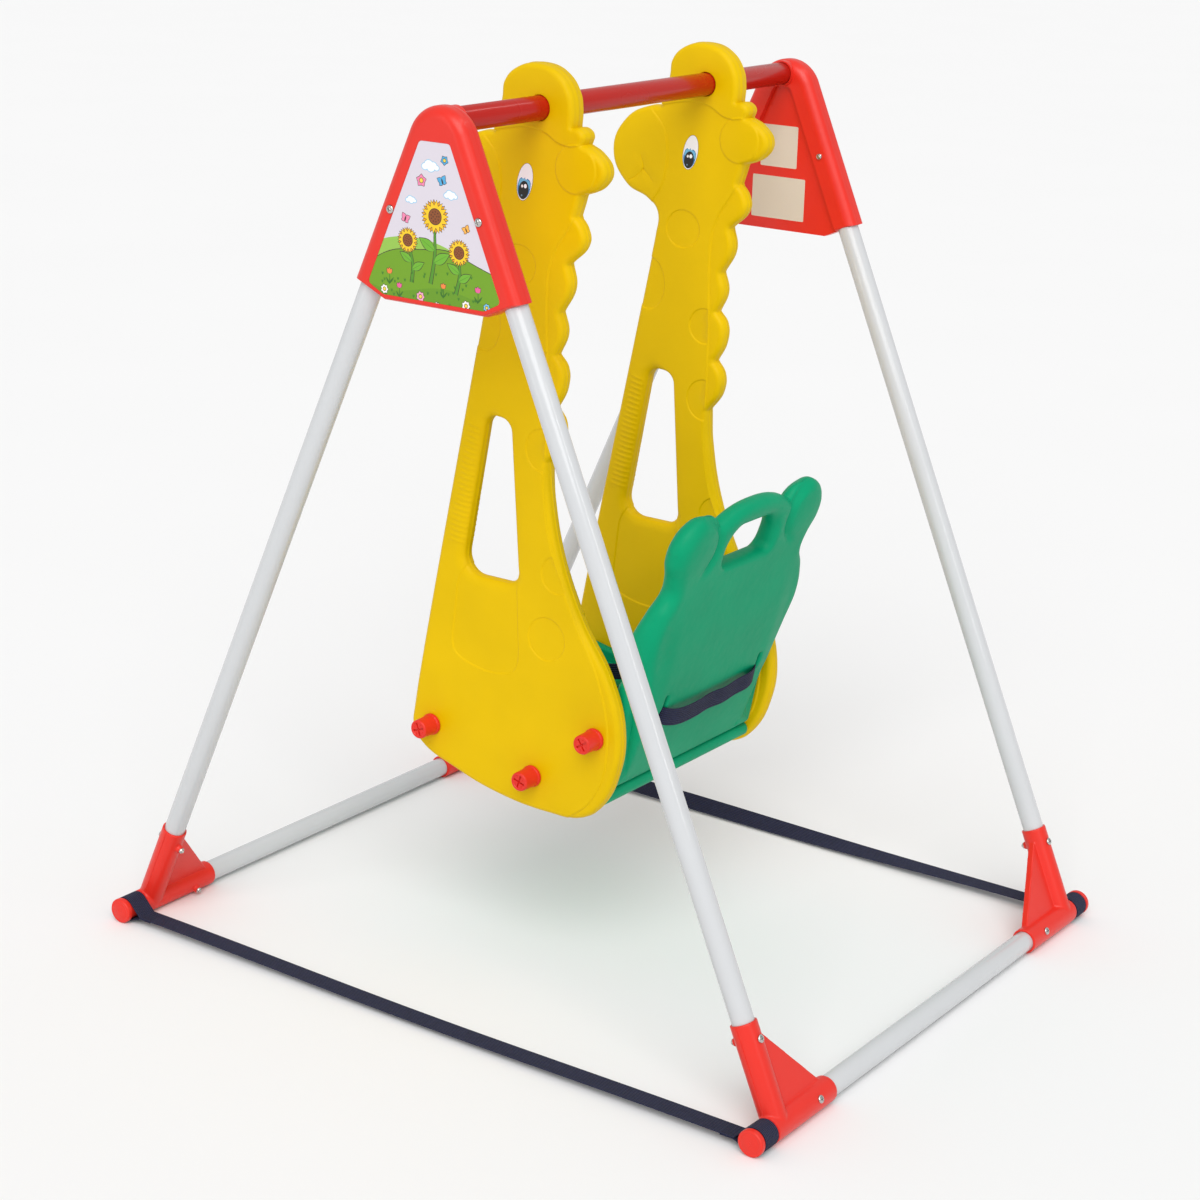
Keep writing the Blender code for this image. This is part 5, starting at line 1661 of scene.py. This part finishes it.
# Lines of the moulded relief, in millimetres from the bar's axis
HEADBAND = ((-100, -37), (-74, -35), (-48, -29.5), (-17, -25.5), (8.5, -30), (29, -41),
            (47, -44.5), (62, -42), (75, -39))
MUZZLE = ((-99, -34), (-88, -44), (-73, -59.6), (-63, -78), (-60, -99), (-61, -121),
          (-68, -148), (-81.6, -169), (-90, -179))
MANE = ((84, -104), (65.2, -104), (59, -129), (49.8, -147.4), (31, -175.5), (21.7, -198),
        (17.6, -220), (17.1, -264), (19, -312), (20.5, -360), (20.5, -430), (19, -485),
        (22, -533), (34, -585), (54, -630), (80, -685), (112, -740), (131, -799),
        (134, -845), (127, -892), (106, -930), (80, -953), (52, -975))
MOUTH = (((-104.6, -112.5), (-100.8, -120.8), (-100.5, -128.4)),
         ((-100.5, -128.4), (-112, -139.5), (-122.5, -145)),
         ((-100.5, -128.4), (-93.6, -134.2), (-86.7, -141.6)))
POCKET = ((-113, -634), (-123, -655), (-127, -685), (-131, -723), (-132.5, -747), (-125, -763),
          (-102, -773), (-69.5, -778), (-38, -774), (-23.7, -765), (-18, -745), (-20, -700),
          (-22, -660), (-24, -634))
SPOTS = ((-30, -206, 28, 27), (-85, -291, 27, 38), (13, -341, 25.5, 25.5), (17, -449, 29, 30),
         (44, -617, 26, 26), (29, -710, 30.5, 30.5))
EAR = (58.5, -72.5, 31.5)
MOULD_DOTS = ((-163.9, -857.1), (-172.4, -908.9))
RIB_PITCH = 7.6
RIB_COUNT = 23


def smooth_line(points, steps=6):
    return [(p.x, p.y) for p in smooth_path([(*q, 0) for q in points], steps)]


def side_of(points, line):
    """Signed distance to an open line: positive on its left."""
    gap, place = nearest(points, line, closed=False)
    line = np.asarray(line, float)
    low = np.minimum(place.astype(int), len(line) - 2)
    along = line[low + 1] - line[low]
    off = points - line[low]
    sign = np.sign(along[:, 0] * off[:, 1] - along[:, 1] * off[:, 0])
    return gap * sign


def rib_lines():
    """The grip ribs beside the arm opening, as short lines."""
    lines = []
    for i in range(RIB_COUNT):
        z = -434 - RIB_PITCH * i
        edge = -79.5 - (-222 - z) / 638 * 123
        share = i / (RIB_COUNT - 1)
        start = edge + 16
        lines.append(((start, z + 1.6), (start + 13 + 9 * share, z - 1.6)))
    return lines


def panel_relief():
    """The relief's height function and the points that carry it."""
    headband = smooth_line(HEADBAND)
    muzzle = smooth_line(MUZZLE)
    mane = smooth_line(MANE)
    pocket = smooth_line(POCKET)
    mouth = [smooth_line(line, 4) for line in MOUTH]
    ribs = rib_lines()
    features = []
    rows = (-1.9, -1.0, -0.35, 0.35, 1.0, 1.9)
    for line in (headband, muzzle, mane):
        features.append(step_points(line, False, rows, 2.6))
    features.append(step_points(pocket, True, rows, 2.6))
    for x, y, rx, ry in SPOTS:
        features.append(step_points(disc(x, y, rx, 64, ry / rx), True,
                                    (-1.5, -0.9, -0.35, 0.35, 0.9, 1.5), 2.6))
    features.append(step_points(disc(*EAR, 64), True, (-2.2, -1.2, -0.4, 0.4, 1.2, 2.2), 2.6))
    for line in mouth:
        features.append(step_points(line, False, (-2, -1, 0, 1, 2), 1.6))
    for line in ribs:
        features.append(step_points(line, False, (-2.6, -1.3, 0, 1.3, 2.6), 3.0))
    for x, y in MOULD_DOTS:
        for radius in (0.01, 1.0, 1.8, 2.6):
            features.append(np.array(disc(x, y, radius, 10)))

    def relief(points, face):
        points = points * 1000
        # The mane and the rim's strip lie lower than the neck and the body
        beyond = side_of(points, mane)
        height = -1.9 * ease(beyond / 2.2 + 0.5)
        body = ease(0.5 - (beyond + 1.5) / 2.4)
        away = side_of(points, headband)
        height = height + 1.9 * ease(away / 2.4 + 0.5)
        front = side_of(points, muzzle)
        height = height + 1.7 * ease(-front / 3.0 + 0.5) * (points[:, 1] > -200)
        x, y, radius = EAR
        out = np.hypot(points[:, 0] - x, points[:, 1] - y)
        dome = np.clip(1 - (out / radius) ** 2, 0, 1)
        height = height + (1.5 + 1.4 * dome) * ease((radius - out) / 2.4 + 0.5)
        for x, y, rx, ry in SPOTS:
            out = np.hypot((points[:, 0] - x) / rx, (points[:, 1] - y) / ry)
            height = height - 1.35 * body * ease((1 - out) * rx / 2.0 + 0.5)
        gap, _ = nearest(points, pocket)
        sign = np.where(inside(points, pocket), 1.0, -1.0)
        height = height - 1.35 * ease(gap * sign / 2.2 + 0.5)
        for line in mouth:
            gap, _ = nearest(points, line, closed=False)
            height = height - 0.9 * np.exp(-(gap / 1.1) ** 2)
        for line in ribs:
            gap, _ = nearest(points, line, closed=False)
            height = height + 0.9 * np.exp(-(gap / 1.5) ** 2)
        for x, y in MOULD_DOTS:
            out = np.hypot(points[:, 0] - x, points[:, 1] - y)
            height = height - 0.8 * ease((1.8 - out) / 1.6)
        return height / 1000

    return relief, np.concatenate(features) / 1000


def opening_width(y, z):
    """The arm opening's edge is broad and soft in front and below."""
    line_y = -0.0815 + (-0.416 - z) / 0.230 * -0.0405
    front = ease(np.array([(0.030 - (y - line_y)) / 0.020]))[0]
    below = ease(np.array([(-0.6180 - z) / 0.018]))[0]
    return 0.0055 + 0.0105 * max(float(front), float(below))


def eye_shapes():
    """Inked areas of an eye in metres from the bar's axis: an oval that leans back."""
    turn = math.radians(-11.5)

    def spot(u, v):
        return swung(-0.0216, -0.0968, u, v, turn)

    def oval(u, v, wide, tall, steps=40):
        x, y = spot(u, v)
        return disc(x, y, wide, steps, tall / wide, turn)

    outline = oval(0, 0, 0.0124, 0.0250, 56)
    iris = []
    for i in range(33):
        a = math.pi * (1.0 + i / 32)
        iris.append(spot(0.0104 * math.cos(a), -0.0060 + 0.0170 * math.sin(a)))
    lashes = [spot(0.0096, 0.0010), spot(0.0066, 0.0042), spot(0.0028, 0.0052),
              spot(0.0006, 0.0008), spot(-0.0010, 0.0062), spot(-0.0030, 0.0012),
              spot(-0.0062, 0.0046), spot(-0.0092, 0.0010)]
    glow = [spot(0.0070 * math.cos(math.pi * (1 + i / 20)),
                 -0.0080 + 0.0130 * math.sin(math.pi * (1 + i / 20))) for i in range(21)]
    shapes = [
        (oval(0, 0, 0.0119, 0.0245, 56), "F3F1F2"),
        (iris + lashes, "2E7CB8"),
        ([spot(0.0098, -0.0062), spot(0.0080, 0.0016), spot(0.0040, 0.0036),
          spot(-0.0040, 0.0036), spot(-0.0080, 0.0016), spot(-0.0098, -0.0062)] + glow,
         "6DB7DC"),
        (oval(0.0002, -0.0110, 0.0080, 0.0122), "0E0B0A"),
        (oval(0.0020, -0.0052, 0.0024, 0.0028, 20), "FFFFFF"),
        (oval(-0.0030, -0.0066, 0.0017, 0.0020, 16), "F2EFEA"),
        (oval(-0.0012, -0.0185, 0.0012, 0.0012, 12), "6F8FA6"),
    ]
    return outline, shapes


class SWING_OT_panels(bpy.types.Operator):
    """Make the giraffe-shaped side panels and their eyes"""

    bl_idname = "swing.panels"
    bl_label = "Side panels"

    def execute(self, context):
        size = sizes()
        thick = size.panel_thickness / 2
        relief, features = panel_relief()
        outline = [(y / 1000, z / 1000, corner) for y, z, corner in GIRAFFE_OUTLINE]
        outline = even(fair_loop(outline), RIM_STEP)
        rims = [Rim(outline, size.panel_round, min(size.panel_round, thick - 0.004)),
                Rim(even(rounded(ARM_OPENING, 9), RIM_STEP), opening_width,
                    lambda y, z: 0.3 * opening_width(y, z) + 0.0035, hole=True),
                Rim(disc(0, 0, size.bar_radius + 0.0005, 56), 0.0012, 0.0012, hole=True)]
        for y, z in KNOB_PLACES.values():
            spot = seat_point(y, z)
            rims.append(Rim(disc(spot.y, spot.z - BAR_Z, KNOB_BORE_R, 28), 0.0008, 0.0008,
                            hole=True))
        panel = plate("panel_master", rims, lambda points, face: np.full(len(points), thick),
                      relief, features, 0.011, 0.0006)
        smooth(panel, 50)
        loop, shapes = eye_shapes()
        eye = printed_sheet("eye_master", loop, shapes, FILM, "4A2218")
        for side, side_x in SIDES.items():
            middle = side_x * (PANEL_INNER_X + thick)
            twin = copy_of(panel, "giraffe_side_" + side, side_view(middle, BAR_Z))
            settle(twin, SWING, "polyethylene_yellow", "giraffe_panel_" + side)
            for face, way in (("outer", side_x), ("inner", -side_x)):
                on = side_view(middle + way * (thick + FILM_FACE), BAR_Z)
                if way < 0:
                    on = on @ MIRROR_FACE
                sticker = copy_of(eye, "eye_%s_%s" % (face, side), on)
                settle(sticker, SWING, "film")
        discard(panel, eye)
        return {"FINISHED"}


class SWING_OT_knobs(bpy.types.Operator):
    """Make the knob screws that hold the seat between the panels"""

    bl_idname = "swing.knobs"
    bl_label = "Knob screws"

    def execute(self, context):
        size = sizes()
        long, cap, flange = size.knob_length, 0.0140, 0.0160
        reach = size.panel_thickness + 0.030
        crown = quarter(cap - 0.0022, long - 0.0022, 0.0022, 0.0022, 18)
        lip = quarter(flange - 0.0011, 0.0042, 0.0011, 0.0011, 22)
        profile = [(0, long - 0.0007), (0.0098, long - 0.0007), (0.0104, long), *crown,
                   (cap + 0.0006, 0.0078), (cap + 0.0008, 0.0062), (cap + 0.0013, 0.0054),
                   *lip, (flange, 0.0008), (flange - 0.0008, 0), (0.008, 0),
                   (0.008, -reach + 0.001), (0.007, -reach), (0, -reach)]
        knob = turned("knob_master", profile, 72)
        # 24 flutes round the cap: every third column of points pulled in
        for vert in knob.data.vertices:
            turn = math.degrees(math.atan2(vert.co.y, vert.co.x)) % 15
            away = math.hypot(vert.co.x, vert.co.y)
            vert.select = (min(turn, 15 - turn) < 1 and away > 0.0105
                           and 0.006 < vert.co.z < long - 0.0004)
        edit(knob)
        bpy.ops.transform.resize(value=(0.965, 0.965, 1))
        leave_edit()
        cut(knob, *cross_recess(0.0092, 0.0034, long))
        for i in range(4):
            a = math.pi / 4 + i * math.pi / 2
            spot = (0.0074 * math.cos(a), 0.0074 * math.sin(a))
            unite(knob, rod("dot", (*spot, long - 0.0014), (*spot, long - 0.0001), 0.0009, 12))
        clean(knob)
        smooth(knob, 32)
        face_x = PANEL_INNER_X + size.panel_thickness + GAP
        number = 0
        for side, side_x in SIDES.items():
            for place, (y, z) in KNOB_PLACES.items():
                spot = seat_point(y, z)
                turn = Matrix.Rotation(0.35 + 0.9 * number, 4, "Z")
                twin = copy_of(knob, "knob_%s_%s" % (place, side),
                               aim((side_x * face_x, spot.y, spot.z), (side_x, 0, 0)) @ turn)
                settle(twin, SWING, "polypropylene_red", "knob_screw_%s_%s" % (place, side))
                number += 1
        discard(knob)
        return {"FINISHED"}


def socket_cutters(places):
    """Blind holes that take the ends of the knobs' shafts, in the seat's frame."""
    cutters = []
    for side_x in SIDES.values():
        for place in places:
            y, z = KNOB_PLACES[place]
            cutters.append(rod("socket", (side_x * (PANEL_INNER_X - 0.031), y, z),
                               (side_x * (PANEL_INNER_X + 0.01), y, z), KNOB_BORE_R, 32))
    return cutters


class SWING_OT_seat_pan(bpy.types.Operator):
    """Make the seat's pan with its side rims and soft rolls"""

    bl_idname = "swing.seat_pan"
    bl_label = "Seat pan"

    def execute(self, context):
        half = PANEL_INNER_X - GAP
        pan = block("moulded_seat_pan", (-half, -0.311, -0.010), (half, 0.002, 0.011))
        edit(pan, "EDGE", select="DESELECT")
        leave_edit()
        for edge in pan.data.edges:
            ends = [pan.data.vertices[i].co for i in edge.vertices]
            edge.select = abs(ends[0].x - ends[1].x) > half
        round_edges(pan, 0.0103, 9, select=None)
        for side_x in SIDES.values():
            low, high = sorted((side_x * (half - 0.014), side_x * half))
            rim = block("rim", (low, -0.2895, 0.001), (high, -0.052, 0.029), 0.0046, 5)
            unite(pan, rim)
        # A shallow dished sitting area with a soft edge
        dish = block("dish", (-0.140, -0.286, 0.0094), (0.140, -0.060, 0.030), 0.0075, 6)
        cut(pan, dish)
        cut(pan, *socket_cutters(("front", "middle")))
        trim(pan, 32, 70)
        pan.data.transform(SEAT_FRAME)
        settle(pan, SWING, "polyethylene_green", "seat_pan")
        return {"FINISHED"}


# Half the backrest's depth and where its middle is, at heights up from the pan
BACK_DEPTHS = ((0.0116, 0.0130, -0.0130), (0.044, 0.0165, -0.0095), (0.105, 0.0215, -0.0045),
               (0.153, 0.0245, -0.0015), (0.200, 0.0250, 0.0020), (0.240, 0.0235, 0.0065),
               (0.280, 0.0190, 0.0125), (0.320, 0.0165, 0.0175), (0.370, 0.0165, 0.0225),
               (0.432, 0.0165, 0.0295))
BACK_OUTLINE = (
    (0.15, 0.0116, 1), (0.156, 0.05, 0), (0.16, 0.12, 0),
    (0.177, 0.19, 0), (0.189, 0.245, 0), (0.178, 0.29, 0),
    (0.163, 0.317, 0), (0.167, 0.338, 0), (0.179, 0.368, 0),
    (0.174, 0.401, 0), (0.149, 0.424, 0), (0.12, 0.427, 0),
    (0.099, 0.419, 0), (0.088, 0.407, 1), (0.052, 0.422, 0),
)
BACK_TOP = 0.4280
HANDLE_OPENING = (
    (-0.0590, 0.3370, 0.0120), (-0.0600, 0.3940, 0.0300),
    (0.0600, 0.3940, 0.0300), (0.0590, 0.3370, 0.0120),
)
EAR_CENTRE = (0.1360, 0.3800)


def back_profile(z):
    """Half the depth and the middle at heights, on a smooth curve."""
    stations, halves, middles = (np.array(c) for c in zip(*BACK_DEPTHS))
    near = np.linspace(stations[0], stations[-1], 300)
    window = np.hanning(31)
    window /= window.sum()
    eased = [np.convolve(np.pad(np.interp(near, stations, values), 15, mode="edge"),
                         window, mode="valid") for values in (halves, middles)]
    return np.interp(z, near, eased[0]), np.interp(z, near, eased[1])


def back_edge(x, z):
    """Width of the rounding along the backrest's outline."""
    if z > 0.40 and abs(x) < 0.085:
        return 0.0175
    if math.hypot(abs(x) - EAR_CENTRE[0], z - EAR_CENTRE[1]) < 0.052 and z > 0.325:
        return 0.0205
    if z < 0.05:
        return 0.009
    return 0.0175 if z > 0.12 else 0.014


def back_opening_edge(x, z):
    return 0.0175 if z > 0.375 else (0.009 if z < 0.345 else 0.016)


def eased_widths(rim, reach=9):
    """Smooth the change of width along a rim."""
    for values in (rim.width, rim.depth):
        padded = np.concatenate((values[-reach:], values, values[:reach]))
        window = np.hanning(2 * reach + 1)
        values[:] = np.convolve(padded, window / window.sum(), mode="valid")
    return rim


class SWING_OT_backrest(bpy.types.Operator):
    """Make the backrest with its ears, handle, wings and belt slots"""

    bl_idname = "swing.backrest"
    bl_label = "Backrest"

    def execute(self, context):
        loop = [*BACK_OUTLINE, (0.0, BACK_TOP, 0),
                *((-x, z, corner) for x, z, corner in reversed(BACK_OUTLINE))]
        outline = even(fair_loop(loop), RIM_STEP)

        def deep(x, z):
            half, _ = back_profile(z)
            return min(float(half) - 0.0012, 0.0205)

        rims = [eased_widths(Rim(outline, back_edge, deep)),
                eased_widths(Rim(even(rounded(HANDLE_OPENING, 9), 0.0038),
                                 back_opening_edge, deep, hole=True))]
        for side_x in SIDES.values():
            slot = rounded([(side_x * SLOT_X - 0.0035, 0.112, 0.0034),
                            (side_x * SLOT_X + 0.0035, 0.112, 0.0034),
                            (side_x * SLOT_X + 0.0035, 0.157, 0.0034),
                            (side_x * SLOT_X - 0.0035, 0.157, 0.0034)], 4)
            rims.append(Rim(even(slot, 0.0035), 0.0045, 0.0045, hole=True))

        def half(points, face):
            depth, middle = back_profile(points[:, 1])
            # Local +Z of the plate looks forward, so the middle counts the other way
            return depth - face * middle

        def relief(points, face):
            x, z = np.abs(points[:, 0]), points[:, 1]
            out = np.hypot(x - EAR_CENTRE[0], z - EAR_CENTRE[1])
            # The ears swell, with a crease where they meet the handle
            angle = np.degrees(np.arctan2(z - EAR_CENTRE[1], x - EAR_CENTRE[0]))
            off = np.abs((angle - 168 + 180) % 360 - 180)
            height = -0.0058 * np.exp(-((out - 0.0460) / 0.0062) ** 2) * ease((88 - off) / 46)
            height = height + 0.0034 * ease((0.050 - out) / 0.044)
            if face < 0:
                # The rear face swells above the belt and steps in under it
                height = height + 0.0042 * ease((z - 0.116) / 0.024) * ease(
                    (0.33 - z) / 0.12) * ease((0.165 - x) / 0.04)
            return height

        band_y = np.array([(x, z) for z in np.arange(0.108, 0.150, 0.004)
                           for x in np.arange(-0.150, 0.151, 0.006)])
        ear_rows = np.concatenate([
            np.array(disc(side_x * EAR_CENTRE[0], EAR_CENTRE[1], radius, 60))
            for side_x in SIDES.values() for radius in (0.034, 0.038, 0.042, 0.0465, 0.051,
                                                        0.055)])
        back = plate("moulded_backrest", rims, half, relief,
                     np.concatenate((band_y, ear_rows)), 0.0065, 0.0)
        # Local X, Y and Z of the plate become X, Z and -Y of the seat's frame
        back.data.transform(Matrix(((1, 0, 0, 0), (0, 0, -1, 0), (0, 1, 0, 0), (0, 0, 0, 1))))
        for side_x in SIDES.values():
            low, high = sorted((side_x * 0.130, side_x * (PANEL_INNER_X - GAP)))
            wing = block("wing", (low, -0.042, 0.0145), (high, 0.004, 0.185))
            # The front slopes back to the top, as a side support does
            for vert in wing.data.vertices:
                if vert.co.y < -0.02 and vert.co.z > 0.1:
                    vert.co.y, vert.co.z = -0.020, 0.178
            round_edges(wing, 0.011, 7)
            unite(back, clean(wing))
        cut(back, *socket_cutters(("rear",)))
        trim(back, 48)
        back.data.transform(SEAT_FRAME)
        settle(back, SWING, "polyethylene_green", "backrest")
        return {"FINISHED"}


def belt_line():
    """The belt's centre line in the seat's frame, from the buckle round the back."""
    slot_z = 0.133
    depth, middle = back_profile(slot_z)
    rear = float(depth + middle) + 0.0035
    front = ((BUCKLE_LENGTH - 0.004, BUCKLE_Y, BUCKLE_Z), (BUCKLE_LENGTH + 0.008, BUCKLE_Y,
                                                           BUCKLE_Z),
             (0.075, -0.216, BUCKLE_Z), (0.112, -0.170, BUCKLE_Z + 0.010),
             (0.1250, -0.100, BUCKLE_Z + 0.045), (SLOT_X + 0.0005, -0.045, slot_z - 0.006),
             (SLOT_X, -0.005, slot_z - 0.006), (SLOT_X - 0.0005, rear - 0.003, slot_z - 0.008))
    # Behind the back it lies a little slack, in a slight wave
    behind = ((0.102, rear + 0.0062, 0.1212), (0.078, rear + 0.0098, 0.1192),
              (0.040, rear + 0.0086, 0.1180), (0.008, rear + 0.0068, 0.1192),
              (-0.026, rear + 0.0090, 0.1195), (-0.060, rear + 0.0076, 0.1218),
              (-0.084, rear + 0.0090, 0.1238), (-0.102, rear + 0.0060, 0.1248))
    far = [(-x, y, z) for x, y, z in reversed(front)]
    return smooth_path([*front, *behind, *far], 8)


class SWING_OT_lap_belt(bpy.types.Operator):
    """Make the lap belt and its side-release buckle"""

    bl_idname = "swing.lap_belt"
    bl_label = "Lap belt"

    def execute(self, context):
        size = sizes()
        path = belt_line()
        ups = []
        for number in range(len(path)):
            along = way_along(path, number)
            across = Vector((along.y, -along.x, 0)).normalized()
            up = along.cross(across).normalized()
            ups.append(-up if up.z < 0 else up)
        belt = ribbon("webbing_belt", path, ups, size.belt_width, size.belt_thickness)
        belt.data.transform(SEAT_FRAME)
        settle(belt, SWING, "webbing", "lap_belt")

        places = []
        for side_x in SIDES.values():
            for row in (0.006, 0.011):
                for i in range(7):
                    places.append(((side_x * (BUCKLE_LENGTH + row), BUCKLE_Y - 0.0009,
                                    BUCKLE_Z + (i - 3) * 0.0032), (0, 0, 1), (0, -1, 0)))
        thread = stitches("belt_stitching", places)
        thread.data.transform(SEAT_FRAME)
        settle(thread, SWING, "webbing")

        wide, thick = 0.044, 0.013
        for name, node, low, high in (("buckle_body", "buckle_socket", 0.0, BUCKLE_LENGTH),
                                      ("buckle_clip", "buckle_plug", -BUCKLE_LENGTH, 0.0)):
            half = block(name, (low + GAP / 2, BUCKLE_Y - thick / 2, BUCKLE_Z - wide / 2),
                         (high - GAP / 2, BUCKLE_Y + thick / 2, BUCKLE_Z + wide / 2),
                         0.0035, 5)
            outer = high if high > 0 else low
            way = 1 if high > 0 else -1
            # A slit for the webbing, and windows for the clip's prongs
            slit = block("slit", (outer - way * 0.010, BUCKLE_Y - 0.02, BUCKLE_Z - 0.0145),
                         (outer - way * 0.006, BUCKLE_Y + 0.02, BUCKLE_Z + 0.0145), 0.0008, 2)
            cut(half, clean(slit))
            if high > 0:
                for up in (1, -1):
                    z = BUCKLE_Z + up * wide / 2
                    window = block("window", (0.006, BUCKLE_Y - 0.0035, z - 0.005),
                                   (0.021, BUCKLE_Y + 0.0035, z + 0.005), 0.0012, 3)
                    cut(half, window)
                    prong = block("prong", (0.0066, BUCKLE_Y - 0.0028, z - 0.0065),
                                  (0.0200, BUCKLE_Y + 0.0028, z - 0.0006), 0.0014, 3)
                    unite(half, prong)
            else:
                for i in range(4):
                    x = -0.010 - 0.0035 * i
                    groove = block("groove", (x - 0.0008, BUCKLE_Y - thick / 2 - 0.001,
                                              BUCKLE_Z - 0.012),
                                   (x + 0.0008, BUCKLE_Y - thick / 2 + 0.0008,
                                    BUCKLE_Z + 0.012))
                    cut(half, groove)
            trim(half, 35)
            half.data.transform(SEAT_FRAME)
            settle(half, SWING, "acetal_black", node)
        return {"FINISHED"}


class SWING_PT_panel(bpy.types.Panel):
    """Lists the operators that make the swing set"""

    bl_idname = "SWING_PT_panel"
    bl_label = "Baby Swing Set"
    bl_space_type = "VIEW_3D"
    bl_region_type = "UI"
    bl_category = "Swing"

    def draw(self, context):
        layout = self.layout
        for maker in OPERATORS:
            layout.operator(maker.bl_idname)
        for group in (context.scene.swing_sizes, context.scene.swing_colours):
            for key in group.__annotations__:
                layout.prop(group, key)


OPERATORS = (SWING_OT_stage, SWING_OT_tubes, SWING_OT_corner_joints, SWING_OT_fasteners,
             SWING_OT_end_caps, SWING_OT_spread_straps, SWING_OT_covers, SWING_OT_prints,
             SWING_OT_panels, SWING_OT_knobs, SWING_OT_seat_pan, SWING_OT_backrest,
             SWING_OT_lap_belt)
CLASSES = (SwingSizes, SwingColours, *OPERATORS, SWING_PT_panel)


def register():
    for item in CLASSES:
        bpy.utils.register_class(item)
    bpy.types.Scene.swing_sizes = PointerProperty(type=SwingSizes)
    bpy.types.Scene.swing_colours = PointerProperty(type=SwingColours)


def unregister():
    del bpy.types.Scene.swing_colours
    del bpy.types.Scene.swing_sizes
    for item in reversed(CLASSES):
        bpy.utils.unregister_class(item)


def main():
    register()
    bpy.ops.object.select_all(action="DESELECT")
    bpy.ops.swing.stage()
    bpy.ops.swing.tubes()
    bpy.ops.swing.corner_joints()
    bpy.ops.swing.fasteners()
    bpy.ops.swing.end_caps()
    bpy.ops.swing.spread_straps()
    bpy.ops.swing.covers()
    bpy.ops.swing.prints()
    bpy.ops.swing.panels()
    bpy.ops.swing.knobs()
    bpy.ops.swing.seat_pan()
    bpy.ops.swing.backrest()
    bpy.ops.swing.lap_belt()


if __name__ == "__main__":
    main()
